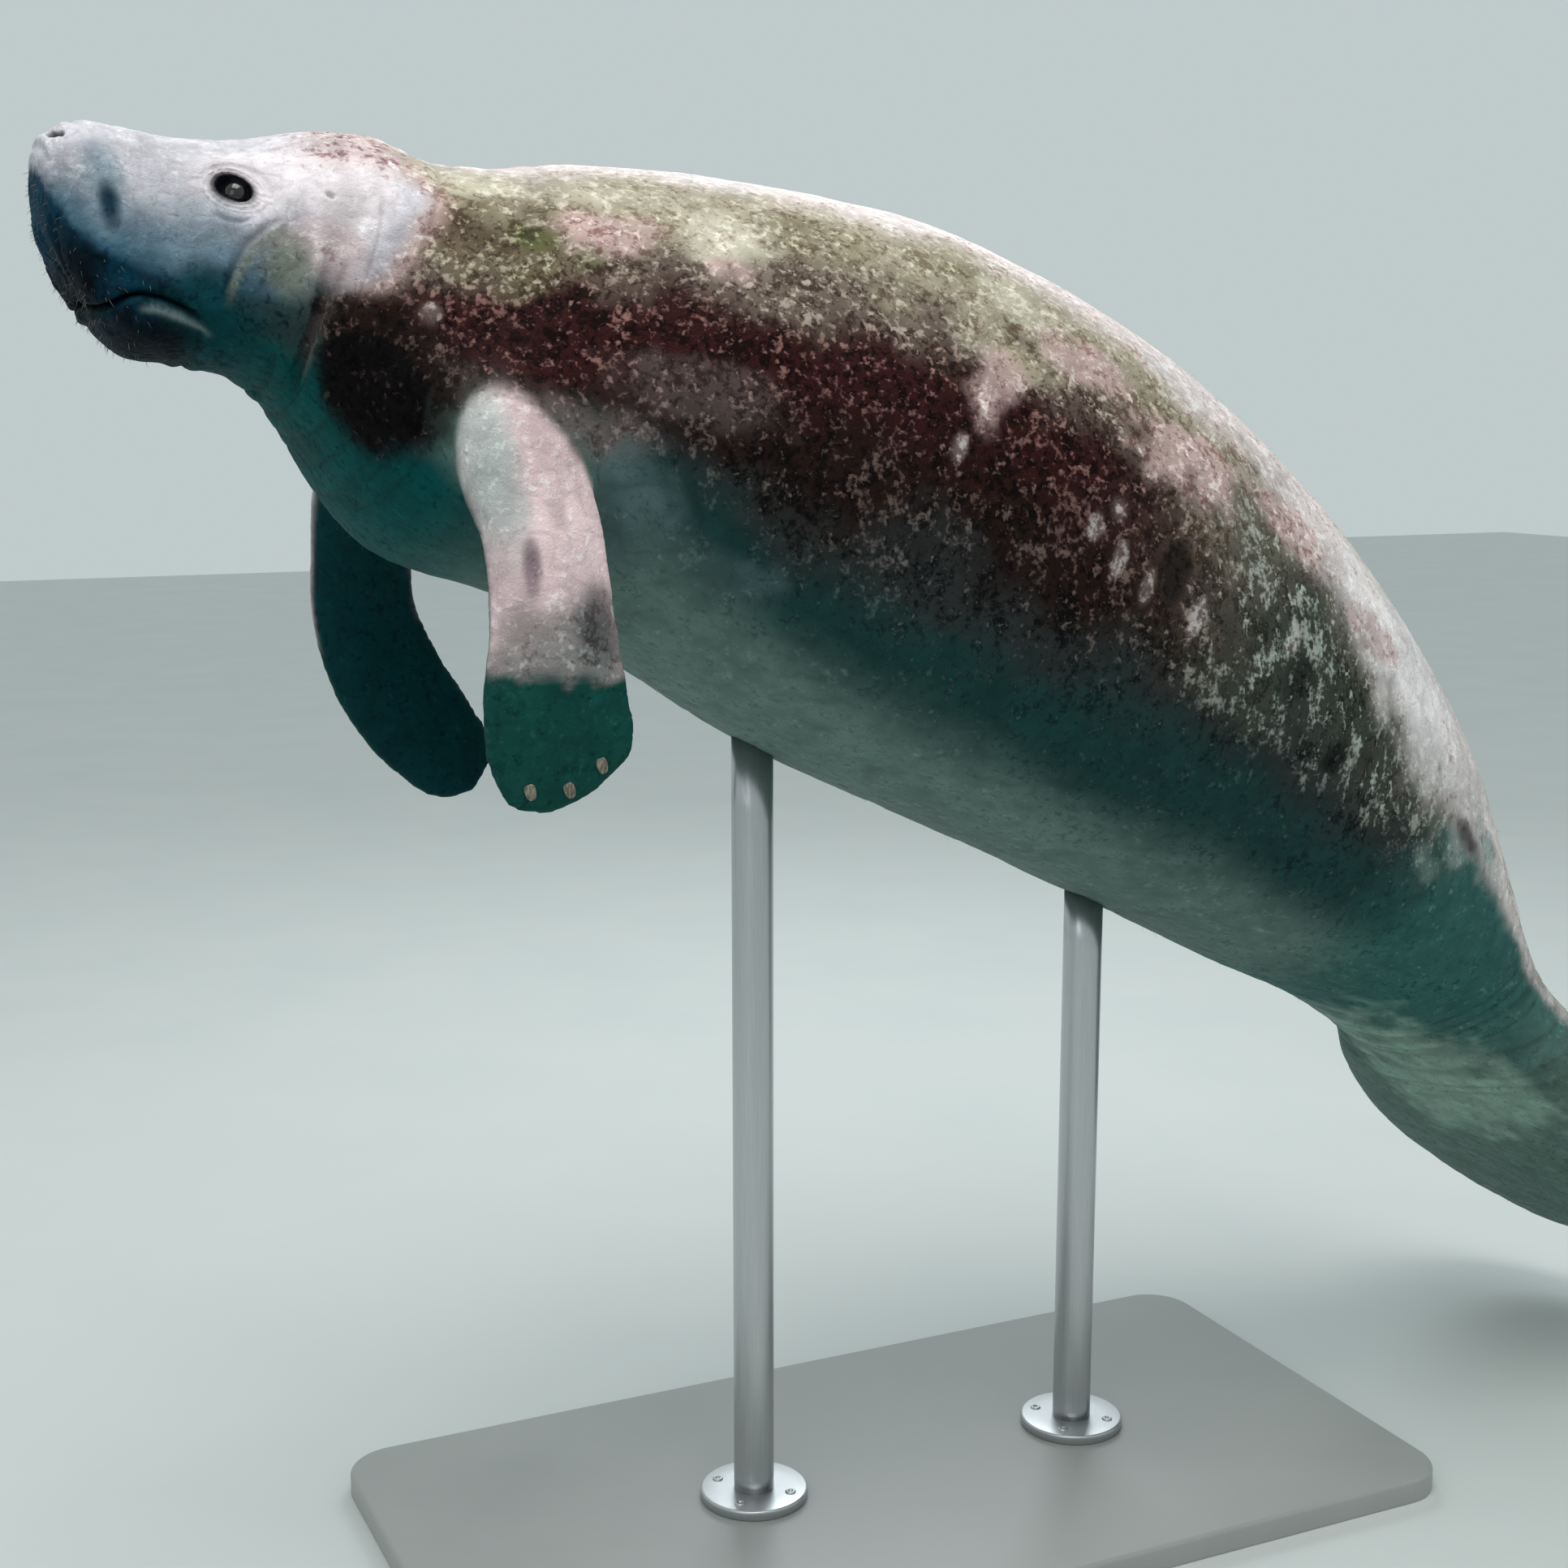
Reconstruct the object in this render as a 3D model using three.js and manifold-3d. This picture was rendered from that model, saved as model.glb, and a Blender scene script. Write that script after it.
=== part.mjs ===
import * as THREE from "three";
import { mergeVertices } from "three/addons/utils/BufferGeometryUtils.js";
import Module from "manifold-3d";

const wasm = await Module();
wasm.setup();

// A manatee 2.7 m long along its spine, held in its swimming pose by a display stand.
// Millimetres, +Z up, head toward -X, its left side toward -Y, tail hanging toward +X.
// The origin is the centre of the underside of the stand's base.

// Where two pieces meet they keep this gap.
const gap = 0.3;

// Landmarks from the snout to the tip of the paddle. x and z place the middle of each section,
// pitch tips the section, half and side are its half height and half width, square is the
// exponent of its outline, sag widens its lower half and roll turns it about the spine.
const landmarks = {
  snoutTip: { x: -940, z: 1531, pitch: 0, half: 5, side: 8, square: 2.2, sag: 0, roll: 0 },
  snoutFront: { x: -934, z: 1529, pitch: 0, half: 36, side: 48, square: 2.3, sag: 0, roll: 0 },
  snoutRim: { x: -920, z: 1522, pitch: 0, half: 62, side: 74, square: 2.4, sag: 0, roll: 0 },
  lips: { x: -898, z: 1508, pitch: 0, half: 85, side: 94, square: 2.5, sag: 0.02, roll: 0 },
  nostrils: { x: -858, z: 1488, pitch: 0, half: 106, side: 102, square: 2.4, sag: 0.04, roll: 0 },
  mouthCorner: { x: -805, z: 1477, pitch: 0, half: 109, side: 104, square: 2.3, sag: 0.06, roll: 0 },
  eyes: { x: -753, z: 1470, pitch: 3, half: 115, side: 120, square: 2.2, sag: 0.08, roll: 0 },
  cheeks: { x: -695, z: 1463, pitch: 15, half: 135, side: 142, square: 2.2, sag: 0.1, roll: 0 },
  neck: { x: -633, z: 1435, pitch: 28, half: 155, side: 172, square: 2.2, sag: 0.1, roll: 0 },
  shoulders: { x: -517, z: 1382, pitch: 30, half: 224, side: 226, square: 2.2, sag: 0.1, roll: 0 },
  chest: { x: -367, z: 1347, pitch: 26, half: 248, side: 268, square: 2.2, sag: 0.1, roll: 0 },
  midBody: { x: -85, z: 1236, pitch: 24, half: 304, side: 318, square: 2.2, sag: 0.1, roll: 0 },
  belly: { x: 182, z: 1104, pitch: 29, half: 306, side: 325, square: 2.2, sag: 0.1, roll: 0 },
  loin: { x: 425, z: 938, pitch: 35, half: 267, side: 290, square: 2.2, sag: 0.05, roll: 1 },
  hip: { x: 607, z: 780, pitch: 42, half: 211, side: 240, square: 2.2, sag: 0, roll: 4 },
  tailRoot: { x: 734, z: 646, pitch: 48, half: 146, side: 196, square: 2.1, sag: 0, roll: 8 },
  tailWaist: { x: 825, z: 532, pitch: 51, half: 100, side: 172, square: 2, sag: 0, roll: 12 },
  paddleRoot: { x: 903, z: 434, pitch: 49, half: 68, side: 226, square: 1.9, sag: 0, roll: 14 },
  paddleFlare: { x: 998, z: 332, pitch: 46, half: 46, side: 264, square: 1.8, sag: 0, roll: 13 },
  paddleWide: { x: 1095, z: 238, pitch: 44, half: 30, side: 266, square: 1.8, sag: 0, roll: 11 },
  paddleEnd: { x: 1180, z: 160, pitch: 42, half: 19, side: 212, square: 1.8, sag: 0, roll: 10 },
  paddleCurve: { x: 1220, z: 124, pitch: 42, half: 13, side: 146, square: 1.8, sag: 0, roll: 10 },
  paddleTip: { x: 1238, z: 108, pitch: 42, half: 6, side: 60, square: 1.8, sag: 0, roll: 10 },
};

// Lengths of the body, each from one cut to the next along the spine, and how far apart
// the rings of each one stand.
const bodyPieces = [
  { name: "head", from: "snoutTip", past: 0, to: "cheeks", upTo: 20, step: 9.5 },
  { name: "neck", from: "cheeks", past: 20, to: "shoulders", upTo: -30, step: 24 },
  { name: "chest", from: "shoulders", past: -30, to: "chest", upTo: 190, step: 36 },
  { name: "belly", from: "chest", past: 190, to: "belly", upTo: 40, step: 46 },
  { name: "loin", from: "belly", past: 40, to: "hip", upTo: -30, step: 44 },
  { name: "tail_stock", from: "hip", past: -30, to: "tailWaist", upTo: 30, step: 34 },
  { name: "tail_paddle", from: "tailWaist", past: 30, to: "paddleTip", upTo: 0, step: 32 },
];
const bodySides = 44;

// The rings of the plain torso that trims the flippers and rods stand this far apart.
const torsoStep = 30;

// Soft forms of the head, one on each side: the place of each one's middle as a distance behind
// the snout's tip and an angle down from the top of the section, how long it is along the
// head, how wide in degrees around it, how far it rises and how far it pushes forward.
const headForms = {
  nosePad: { past: 40, down: 30, long: 26, wide: 26, rise: 3, push: 0 },
  nostrilDip: { past: 20, down: 0, long: 22, wide: 12, rise: -3, push: 0 },
  upperLip: { past: 44, down: 124, long: 24, wide: 24, rise: 11, push: 7 },
  lipCleft: { past: 26, down: 180, long: 26, wide: 16, rise: -10, push: -6 },
  mouthHollow: { past: 96, down: 113, long: 36, wide: 8, rise: -7, push: 0 },
  lowerLip: { past: 98, down: 138, long: 26, wide: 14, rise: 6, push: 3 },
  chin: { past: 84, down: 180, long: 30, wide: 36, rise: 6, push: 3 },
  muzzleDent: { past: 64, down: 84, long: 15, wide: 11, rise: -6, push: 0 },
  snoutBridge: { past: 120, down: 0, long: 40, wide: 30, rise: -3, push: 0 },
  brow: { past: 178, down: 46, long: 26, wide: 10, rise: 4, push: 0 },
  eyeHollow: { past: 160, down: 66, long: 12, wide: 12, rise: -3, push: 0 },
  eyeBag: { past: 184, down: 76, long: 22, wide: 7, rise: 3, push: 0 },
  jowl: { past: 212, down: 118, long: 34, wide: 24, rise: 8, push: 0 },
  foldHollow: { past: 176, down: 104, long: 9, wide: 22, rise: -4, push: 0 },
  neckFold: { past: 268, down: 112, long: 10, wide: 40, rise: -6, push: 0 },
  nape: { past: 292, down: 0, long: 26, wide: 50, rise: 6, push: 0 },
};

// Flippers: the middle of each section, half its chord, half its thickness.
const flipperSides = 20;
const flipperStep = 24;
const edgeTaper = 0.35;
const leftFlipper = {
  shoulder: { x: -525, y: -170, z: 1345, chord: 74, thick: 62 },
  root: { x: -530, y: -240, z: 1272, chord: 68, thick: 48 },
  elbow: { x: -527, y: -283, z: 1200, chord: 60, thick: 34 },
  wrist: { x: -528, y: -305, z: 1125, chord: 63, thick: 26 },
  palm: { x: -529, y: -312, z: 1050, chord: 74, thick: 20 },
  fingers: { x: -523, y: -312, z: 1000, chord: 73, thick: 15 },
  fingerEnds: { x: -515, y: -311, z: 972, chord: 56, thick: 10 },
  tip: { x: -510, y: -310, z: 960, chord: 26, thick: 5 },
};
const rightFlipper = {
  shoulder: { x: -545, y: 170, z: 1345, chord: 74, thick: 62 },
  root: { x: -555, y: 236, z: 1262, chord: 68, thick: 48 },
  elbow: { x: -564, y: 268, z: 1172, chord: 60, thick: 34 },
  wrist: { x: -560, y: 280, z: 1090, chord: 62, thick: 26 },
  palm: { x: -532, y: 275, z: 1008, chord: 68, thick: 20 },
  fingers: { x: -484, y: 262, z: 938, chord: 62, thick: 15 },
  fingerEnds: { x: -447, y: 254, z: 900, chord: 44, thick: 10 },
  tip: { x: -432, y: 250, z: 888, chord: 20, thick: 5 },
};

// Nails: how far back from the flipper's tip, how far across its chord, and their size.
const nails = [
  { name: "front", back: 28, across: -0.62 },
  { name: "middle", back: 17, across: -0.1 },
  { name: "rear", back: 28, across: 0.45 },
];
const nailSize = { length: 17, width: 11, height: 5 };

// The forms fade out toward the snout's tip over this length.
const formsFade = 34;

// Features of the head lie at a distance behind the snout's tip, and at an angle down each
// side from the top of the section.
const eye = { past: 185, down: 62, radius: 13, depth: 9.5 };
const eyelid = { radius: 15, thick: 4, long: 1.28, tall: 0.86, slant: 24, lift: -1.8 };
const nostril = { past: 26, down: 27, long: 8, wide: 14, deep: 7, slant: 60 };
const earPit = { past: 256, down: 64, radius: 2.5 };
const mouthLine = [
  { past: 48, down: 180, radius: 5 },
  { past: 52, down: 158, radius: 7 },
  { past: 66, down: 136, radius: 8 },
  { past: 84, down: 122, radius: 8 },
  { past: 104, down: 117, radius: 8 },
  { past: 128, down: 118, radius: 7 },
  { past: 156, down: 125, radius: 3 },
];
const grooveSides = 6;
const cheekFold = [
  { past: 227, down: 74, radius: 2 },
  { past: 208, down: 80, radius: 3.5 },
  { past: 188, down: 89, radius: 4 },
  { past: 176, down: 101, radius: 4 },
  { past: 170, down: 115, radius: 2 },
];

// The stand.
const base = { length: 1240, width: 620, thick: 30, corner: 60 };
const rod = { radius: 24, sides: 28 };
const flange = { radius: 65, thick: 12, chamfer: 3 };
const rods = [
  { name: "front", x: -190, top: 1130 },
  { name: "rear", x: 260, top: 950 },
];

const skinPale = { color: 0xd9cdd2, roughness: 0.6, metalness: 0 };
const skinBack = { color: 0x8f8a78, roughness: 0.7, metalness: 0 };
const skinBelly = { color: 0x5f736b, roughness: 0.65, metalness: 0 };
const pieceFinish = {
  head: skinPale,
  neck: { color: 0xb9a9a6, roughness: 0.65, metalness: 0 },
  chest: { color: 0x6b4a44, roughness: 0.75, metalness: 0 },
  belly: skinBack,
  loin: skinBack,
  tail_stock: skinBelly,
  tail_paddle: skinBelly,
  left_flipper: skinPale,
  right_flipper: { color: 0x2f4a4c, roughness: 0.65, metalness: 0 },
};
const eyeFinish = { color: 0x14110f, roughness: 0.08, metalness: 0 };
const nailFinish = { color: 0xb5a58f, roughness: 0.4, metalness: 0 };
const baseFinish = { color: 0x9a9c9b, roughness: 0.5, metalness: 0 };
const rodFinish = { color: 0xb8bbbd, roughness: 0.3, metalness: 1 };

const radians = THREE.MathUtils.degToRad;

// A smooth curve through values set at uneven knots.
function smoothCurve(knots, values) {
  const last = knots.length - 1;
  const slopes = [];
  const tangents = [];
  for (let i = 0; i < last; i += 1) {
    slopes.push((values[i + 1] - values[i]) / (knots[i + 1] - knots[i]));
  }
  for (let i = 1; i < last; i += 1) {
    const before = knots[i] - knots[i - 1];
    const after = knots[i + 1] - knots[i];
    tangents[i] = (slopes[i - 1] * after + slopes[i] * before) / (before + after);
  }
  tangents[0] = 1.5 * slopes[0] - 0.5 * tangents[1];
  tangents[last] = 1.5 * slopes[last - 1] - 0.5 * tangents[last - 1];
  return function valueAt(t) {
    let i = 0;
    while (i < last - 1 && t >= knots[i + 1]) {
      i += 1;
    }
    const span = knots[i + 1] - knots[i];
    const u = (t - knots[i]) / span;
    const rise = u * u * (3 - 2 * u);
    const leave = u * (1 - u) * (1 - u) * span * tangents[i];
    const arrive = -u * u * (1 - u) * span * tangents[i + 1];
    return values[i] + rise * (values[i + 1] - values[i]) + leave + arrive;
  };
}

// Distances along a row of sections, counted from the first.
function distancesAlong(sections) {
  const distances = [0];
  for (let i = 1; i < sections.length; i += 1) {
    const a = sections[i - 1];
    const b = sections[i];
    const length = Math.hypot(b.x - a.x, (b.y ?? 0) - (a.y ?? 0), b.z - a.z);
    distances.push(distances[i - 1] + length);
  }
  return distances;
}

function curvesThrough(sections, keys) {
  const knots = distancesAlong(sections);
  const curves = {};
  for (const key of keys) {
    curves[key] = smoothCurve(knots, sections.map((section) => section[key]));
  }
  return curves;
}

const sections = Object.values(landmarks);
const sectionNames = Object.keys(landmarks);
const sectionKeys = ["x", "z", "pitch", "half", "side", "square", "sag", "roll"];
const spineKnots = distancesAlong(sections);
const spine = curvesThrough(sections, sectionKeys);

function spineAt(name, past) {
  return spineKnots[sectionNames.indexOf(name)] + past;
}

function signedPower(value, power) {
  return Math.sign(value) * Math.abs(value) ** power;
}

// How far the soft forms raise the skin and push it forward at one place.
function formsAt(along, turn) {
  const down = Math.abs(90 - THREE.MathUtils.radToDeg(turn));
  const fold = down > 180 ? 360 - down : down;
  const total = { rise: 0, push: 0 };
  const fade = THREE.MathUtils.smoothstep(along, 0, formsFade);
  for (const form of Object.values(headForms)) {
    const far = ((along - form.past) / form.long) ** 2 + ((fold - form.down) / form.wide) ** 2;
    const share = fade * Math.exp(-far);
    total.rise += share * form.rise;
    total.push += share * form.push;
  }
  return total;
}

// The point of the skin at a place along the spine and a turn about it, with the section
// grown by a margin and slid along its own normal.
function skinPoint(along, turn, margin = 0, trim = 0) {
  const forms = formsAt(along, turn);
  const grow = margin + forms.rise;
  const slide = trim - forms.push;
  const power = 2 / spine.square(along);
  const across = signedPower(Math.cos(turn), power);
  const up = signedPower(Math.sin(turn), power);
  const flatY = (spine.side(along) + grow) * across * (1 - spine.sag(along) * up);
  const flatZ = (spine.half(along) + grow) * up;
  const roll = radians(spine.roll(along));
  const y = flatY * Math.cos(roll) + flatZ * Math.sin(roll);
  const height = flatZ * Math.cos(roll) - flatY * Math.sin(roll);
  const pitch = radians(spine.pitch(along));
  return new THREE.Vector3(
    spine.x(along) + height * Math.sin(pitch) + slide * Math.cos(pitch),
    y,
    spine.z(along) + height * Math.cos(pitch) - slide * Math.sin(pitch),
  );
}

function skinRing(along, grow, slide) {
  const ring = [];
  for (let i = 0; i < bodySides; i += 1) {
    ring.push(skinPoint(along, (2 * Math.PI * i) / bodySides, grow, slide));
  }
  return ring;
}

// A closed surface through rings of equal count, with a flat fan on each end.
function closedLoft(rings) {
  const count = rings[0].length;
  const points = rings.flat();
  const index = [];
  for (let r = 0; r + 1 < rings.length; r += 1) {
    for (let i = 0; i < count; i += 1) {
      const next = (i + 1) % count;
      const a = r * count + i;
      const b = r * count + next;
      index.push(a, b, a + count, b, b + count, a + count);
    }
  }
  for (const end of [0, rings.length - 1]) {
    const centre = new THREE.Vector3();
    rings[end].forEach((point) => centre.add(point));
    points.push(centre.divideScalar(count));
    for (let i = 0; i < count; i += 1) {
      const a = end * count + i;
      const b = end * count + ((i + 1) % count);
      index.push(points.length - 1, end ? a : b, end ? b : a);
    }
  }
  const geometry = new THREE.BufferGeometry().setFromPoints(points);
  geometry.setIndex(index);
  return geometry;
}

// Places from one end to the other, no further apart than the step.
function spread(from, to, step) {
  const count = Math.max(2, Math.ceil((to - from) / step));
  return Array.from({ length: count + 1 }, (_, i) => from + ((to - from) * i) / count);
}

function bodyLoft(from, to, step, grow = 0, trim = 0) {
  const places = spread(from, to, step);
  const last = places.length - 1;
  return closedLoft(places.map((place, i) => {
    const slide = i === 0 ? trim : i === last ? -trim : 0;
    return skinRing(place, grow, slide);
  }));
}

// Solids that can be joined and cut.
function toSolid(geometry) {
  const bare = geometry.index ? geometry.clone() : geometry;
  bare.deleteAttribute("normal");
  bare.deleteAttribute("uv");
  const merged = mergeVertices(bare, 1e-4);
  const solid = new wasm.Manifold(new wasm.Mesh({
    numProp: 3,
    vertProperties: new Float32Array(merged.attributes.position.array),
    triVerts: new Uint32Array(merged.index.array),
  }));
  return solid.volume() < 0 ? toSolid(turnedOut(merged)) : solid;
}

function turnedOut(geometry) {
  const index = geometry.index.array;
  for (let i = 0; i < index.length; i += 3) {
    [index[i + 1], index[i + 2]] = [index[i + 2], index[i + 1]];
  }
  return geometry;
}

// Only the largest closed surface of a solid is kept.
function toGeometry(solid) {
  const pieces = solid.decompose();
  pieces.sort((a, b) => b.volume() - a.volume());
  const mesh = pieces[0].getMesh();
  const geometry = new THREE.BufferGeometry();
  geometry.setAttribute("position", new THREE.BufferAttribute(mesh.vertProperties, 3));
  geometry.setIndex(new THREE.BufferAttribute(mesh.triVerts, 1));
  return geometry;
}

function ellipsoid(centre, radii, turn, around, down) {
  const geometry = new THREE.SphereGeometry(1, around, down);
  const place = new THREE.Matrix4().compose(centre, turn ?? new THREE.Quaternion(), radii);
  return toSolid(geometry.applyMatrix4(place));
}

// A frame on the skin: its point, the way out, the way back along the body, and the way down.
function skinFrame(feature, side, lift = 0) {
  const along = feature.past;
  const turn = radians(90 - side * feature.down);
  const point = skinPoint(along, turn);
  const back = skinPoint(along + 2, turn).sub(skinPoint(along - 2, turn)).normalize();
  const lower = turn - side * 0.02;
  const down = skinPoint(along, lower).sub(point);
  down.addScaledVector(back, -down.dot(back)).normalize();
  const out = new THREE.Vector3().crossVectors(back, down).multiplyScalar(side).normalize();
  return { point: point.addScaledVector(out, lift), out, back, down };
}

// The turn that takes X to the way back, Y to the way across and Z to the way out.
function frameTurn(frame, slant = 0) {
  const tilt = radians(slant);
  const x = frame.back.clone().multiplyScalar(Math.cos(tilt));
  x.addScaledVector(frame.down, Math.sin(tilt));
  const y = new THREE.Vector3().crossVectors(frame.out, x).normalize();
  const basis = new THREE.Matrix4().makeBasis(x, y, frame.out);
  return new THREE.Quaternion().setFromRotationMatrix(basis);
}

// A nostril is a slanting scoop on the top of the muzzle.
function nostrilCutter(side) {
  const frame = skinFrame(nostril, side, 1);
  const radii = new THREE.Vector3(nostril.wide, nostril.long, nostril.deep);
  return ellipsoid(frame.point, radii, frameTurn(frame, nostril.slant), 14, 8);
}

// A tapered worm that lies along the skin, which cuts a groove there.
function grooveCutter(path, side) {
  const points = path.map((place) => skinFrame(place, side).point);
  const curve = new THREE.CatmullRomCurve3(points, false, "centripetal");
  const knots = path.map((_, i) => i / (path.length - 1));
  const radiusAt = smoothCurve(knots, path.map((place) => place.radius));
  const rings = [];
  const steps = 3 * (path.length - 1);
  const frames = curve.computeFrenetFrames(steps, false);
  for (let i = 0; i <= steps; i += 1) {
    const t = i / steps;
    const centre = curve.getPoint(t);
    const ring = [];
    for (let k = 0; k < grooveSides; k += 1) {
      const angle = (2 * Math.PI * k) / grooveSides;
      const point = centre.clone();
      point.addScaledVector(frames.normals[i], radiusAt(t) * Math.cos(angle));
      point.addScaledVector(frames.binormals[i], radiusAt(t) * Math.sin(angle));
      ring.push(point);
    }
    rings.push(ring);
  }
  return toSolid(closedLoft(rings));
}

function eyelidRing(side) {
  const frame = skinFrame(eye, side, eyelid.lift);
  const ring = new THREE.TorusGeometry(eyelid.radius, eyelid.thick, 6, 18);
  const scale = new THREE.Vector3(eyelid.long, eyelid.tall, 1);
  const place = new THREE.Matrix4().compose(frame.point, frameTurn(frame, eyelid.slant), scale);
  return toSolid(ring.applyMatrix4(place));
}

function eyeBall(side, grow) {
  const centre = skinFrame(eye, side, -eye.depth).point;
  const radius = eye.radius + grow;
  return ellipsoid(centre, new THREE.Vector3(radius, radius, radius), undefined, 18, 12);
}

// The head: the front of the body with its lids, the line of the mouth, nostrils and pits.
function headSolid(from, to, step, trim) {
  let head = toSolid(bodyLoft(from, to, step, 0, trim));
  for (const side of [-1, 1]) {
    head = head.add(eyelidRing(side));
    head = head.subtract(eyeBall(side, gap));
    head = head.subtract(grooveCutter(mouthLine, side));
    head = head.subtract(grooveCutter(cheekFold, side));
    head = head.subtract(nostrilCutter(side));
    const ear = skinFrame(earPit, side).point;
    const pit = new THREE.Vector3(earPit.radius, earPit.radius, earPit.radius);
    head = head.subtract(ellipsoid(ear, pit, undefined, 8, 6));
  }
  return head;
}

// A flipper's rings stand across its middle line, with the chord as near to level as it can be.
function flipperRings(shape) {
  const rows = Object.values(shape);
  const knots = distancesAlong(rows);
  const curves = curvesThrough(rows, ["x", "y", "z", "chord", "thick"]);
  const places = spread(0, knots[knots.length - 1], flipperStep);
  return places.map((place) => flipperFrame(curves, place, knots[knots.length - 1])).map((frame) => {
    const ring = [];
    for (let i = 0; i < flipperSides; i += 1) {
      ring.push(flipperPoint(frame, (2 * Math.PI * i) / flipperSides));
    }
    return ring;
  });
}

function flipperFrame(curves, place, end) {
  const pointAt = (t) => new THREE.Vector3(curves.x(t), curves.y(t), curves.z(t));
  const before = pointAt(Math.max(0, place - 3));
  const after = pointAt(Math.min(end, place + 3));
  const way = after.sub(before).normalize();
  const chordWay = new THREE.Vector3(1, 0, 0);
  chordWay.addScaledVector(way, -way.x).normalize();
  const thickWay = new THREE.Vector3().crossVectors(way, chordWay);
  const chord = curves.chord(place);
  const thick = curves.thick(place);
  return { centre: pointAt(place), way, chordWay, thickWay, chord, thick };
}

// The leading edge, toward the head, is rounder than the trailing one.
function flipperPoint(frame, turn) {
  const across = Math.cos(turn);
  const taper = 1 - edgeTaper * across;
  const point = frame.centre.clone();
  point.addScaledVector(frame.chordWay, frame.chord * across);
  point.addScaledVector(frame.thickWay, frame.thick * Math.sin(turn) * taper);
  return point;
}

function flipperSolid(shape, grownTorso, nailSolids) {
  let flipper = toSolid(closedLoft(flipperRings(shape))).subtract(grownTorso);
  nailSolids.forEach((nail) => {
    flipper = flipper.subtract(nail);
  });
  return flipper;
}

// A nail lies on the outer face near the tip, half sunk in the flipper.
function nailSolid(shape, nail, outward, grow) {
  const rows = Object.values(shape);
  const knots = distancesAlong(rows);
  const end = knots[knots.length - 1];
  const curves = curvesThrough(rows, ["x", "y", "z", "chord", "thick"]);
  const frame = flipperFrame(curves, end - nail.back, end);
  const side = Math.sign(frame.thickWay.y) === outward ? 1 : -1;
  const turn = side * Math.acos(nail.across);
  const point = flipperPoint(frame, turn);
  const out = frame.thickWay.clone().multiplyScalar(side);
  const x = frame.way.clone();
  const y = new THREE.Vector3().crossVectors(out, x).normalize();
  const basis = new THREE.Matrix4().makeBasis(x, y, out);
  const radii = new THREE.Vector3(nailSize.length / 2, nailSize.width / 2, nailSize.height / 2);
  radii.addScalar(grow);
  return ellipsoid(point, radii, new THREE.Quaternion().setFromRotationMatrix(basis), 10, 6);
}

function baseGeometry() {
  const x = base.length / 2;
  const y = base.width / 2;
  const r = base.corner;
  const outline = new THREE.Shape();
  outline.moveTo(-x + r, -y);
  outline.lineTo(x - r, -y);
  outline.absarc(x - r, -y + r, r, -Math.PI / 2, 0, false);
  outline.lineTo(x, y - r);
  outline.absarc(x - r, y - r, r, 0, Math.PI / 2, false);
  outline.lineTo(-x + r, y);
  outline.absarc(-x + r, y - r, r, Math.PI / 2, Math.PI, false);
  outline.lineTo(-x, -y + r);
  outline.absarc(-x + r, -y + r, r, Math.PI, 1.5 * Math.PI, false);
  return new THREE.ExtrudeGeometry(outline, {
    depth: base.thick,
    bevelEnabled: false,
    curveSegments: 10,
  });
}

// A round solid that stands on its lower end, with a chamfer round its top.
function roundBar(radius, bottom, top, chamfer, x) {
  const profile = [
    new THREE.Vector2(0, bottom),
    new THREE.Vector2(radius, bottom),
    new THREE.Vector2(radius, top - chamfer),
    new THREE.Vector2(radius - chamfer, top),
    new THREE.Vector2(0, top),
  ];
  const geometry = new THREE.LatheGeometry(profile, rod.sides);
  geometry.rotateX(Math.PI / 2);
  geometry.translate(x, 0, 0);
  return toSolid(geometry);
}

// A flange lies on the base.
function flangeSolid(spec) {
  const bottom = base.thick + gap;
  return roundBar(flange.radius, bottom, bottom + flange.thick, flange.chamfer, spec.x);
}

// A rod stands on its flange and is cut off where it meets the belly.
function rodSolid(spec, grownTorso) {
  const bottom = base.thick + gap + flange.thick + gap;
  return roundBar(rod.radius, bottom, spec.top, flange.chamfer, spec.x).subtract(grownTorso);
}

const group = new THREE.Group();

function addMesh(name, geometry, finish) {
  const mesh = new THREE.Mesh(geometry, new THREE.MeshStandardMaterial(finish));
  mesh.name = name;
  group.add(mesh);
}

const torsoFrom = spineAt("cheeks", 20);
const torsoTo = spineAt("hip", 0);
const grownTorso = toSolid(bodyLoft(torsoFrom, torsoTo, torsoStep, gap, 0));

for (const piece of bodyPieces) {
  const from = spineAt(piece.from, piece.past);
  const to = spineAt(piece.to, piece.upTo);
  if (piece.name === "head") {
    addMesh(piece.name, toGeometry(headSolid(from, to, piece.step, gap / 2)), pieceFinish.head);
  } else {
    const geometry = bodyLoft(from, to, piece.step, 0, gap / 2);
    addMesh(piece.name, geometry, pieceFinish[piece.name]);
  }
}

for (const [sideName, side] of [["left", -1], ["right", 1]]) {
  const shape = side < 0 ? leftFlipper : rightFlipper;
  const cutters = nails.map((nail) => nailSolid(shape, nail, side, gap));
  const name = `${sideName}_flipper`;
  addMesh(name, toGeometry(flipperSolid(shape, grownTorso, cutters)), pieceFinish[name]);
  nails.forEach((nail) => {
    const solid = nailSolid(shape, nail, side, 0);
    addMesh(`${sideName}_nail_${nail.name}`, toGeometry(solid), nailFinish);
  });
  addMesh(`${sideName}_eye`, toGeometry(eyeBall(side, 0)), eyeFinish);
}

addMesh("stand_base", baseGeometry(), baseFinish);
for (const spec of rods) {
  addMesh(`stand_flange_${spec.name}`, toGeometry(flangeSolid(spec)), rodFinish);
  addMesh(`stand_rod_${spec.name}`, toGeometry(rodSolid(spec, grownTorso)), rodFinish);
}

export default group;
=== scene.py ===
import math
from itertools import product
from types import SimpleNamespace

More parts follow.
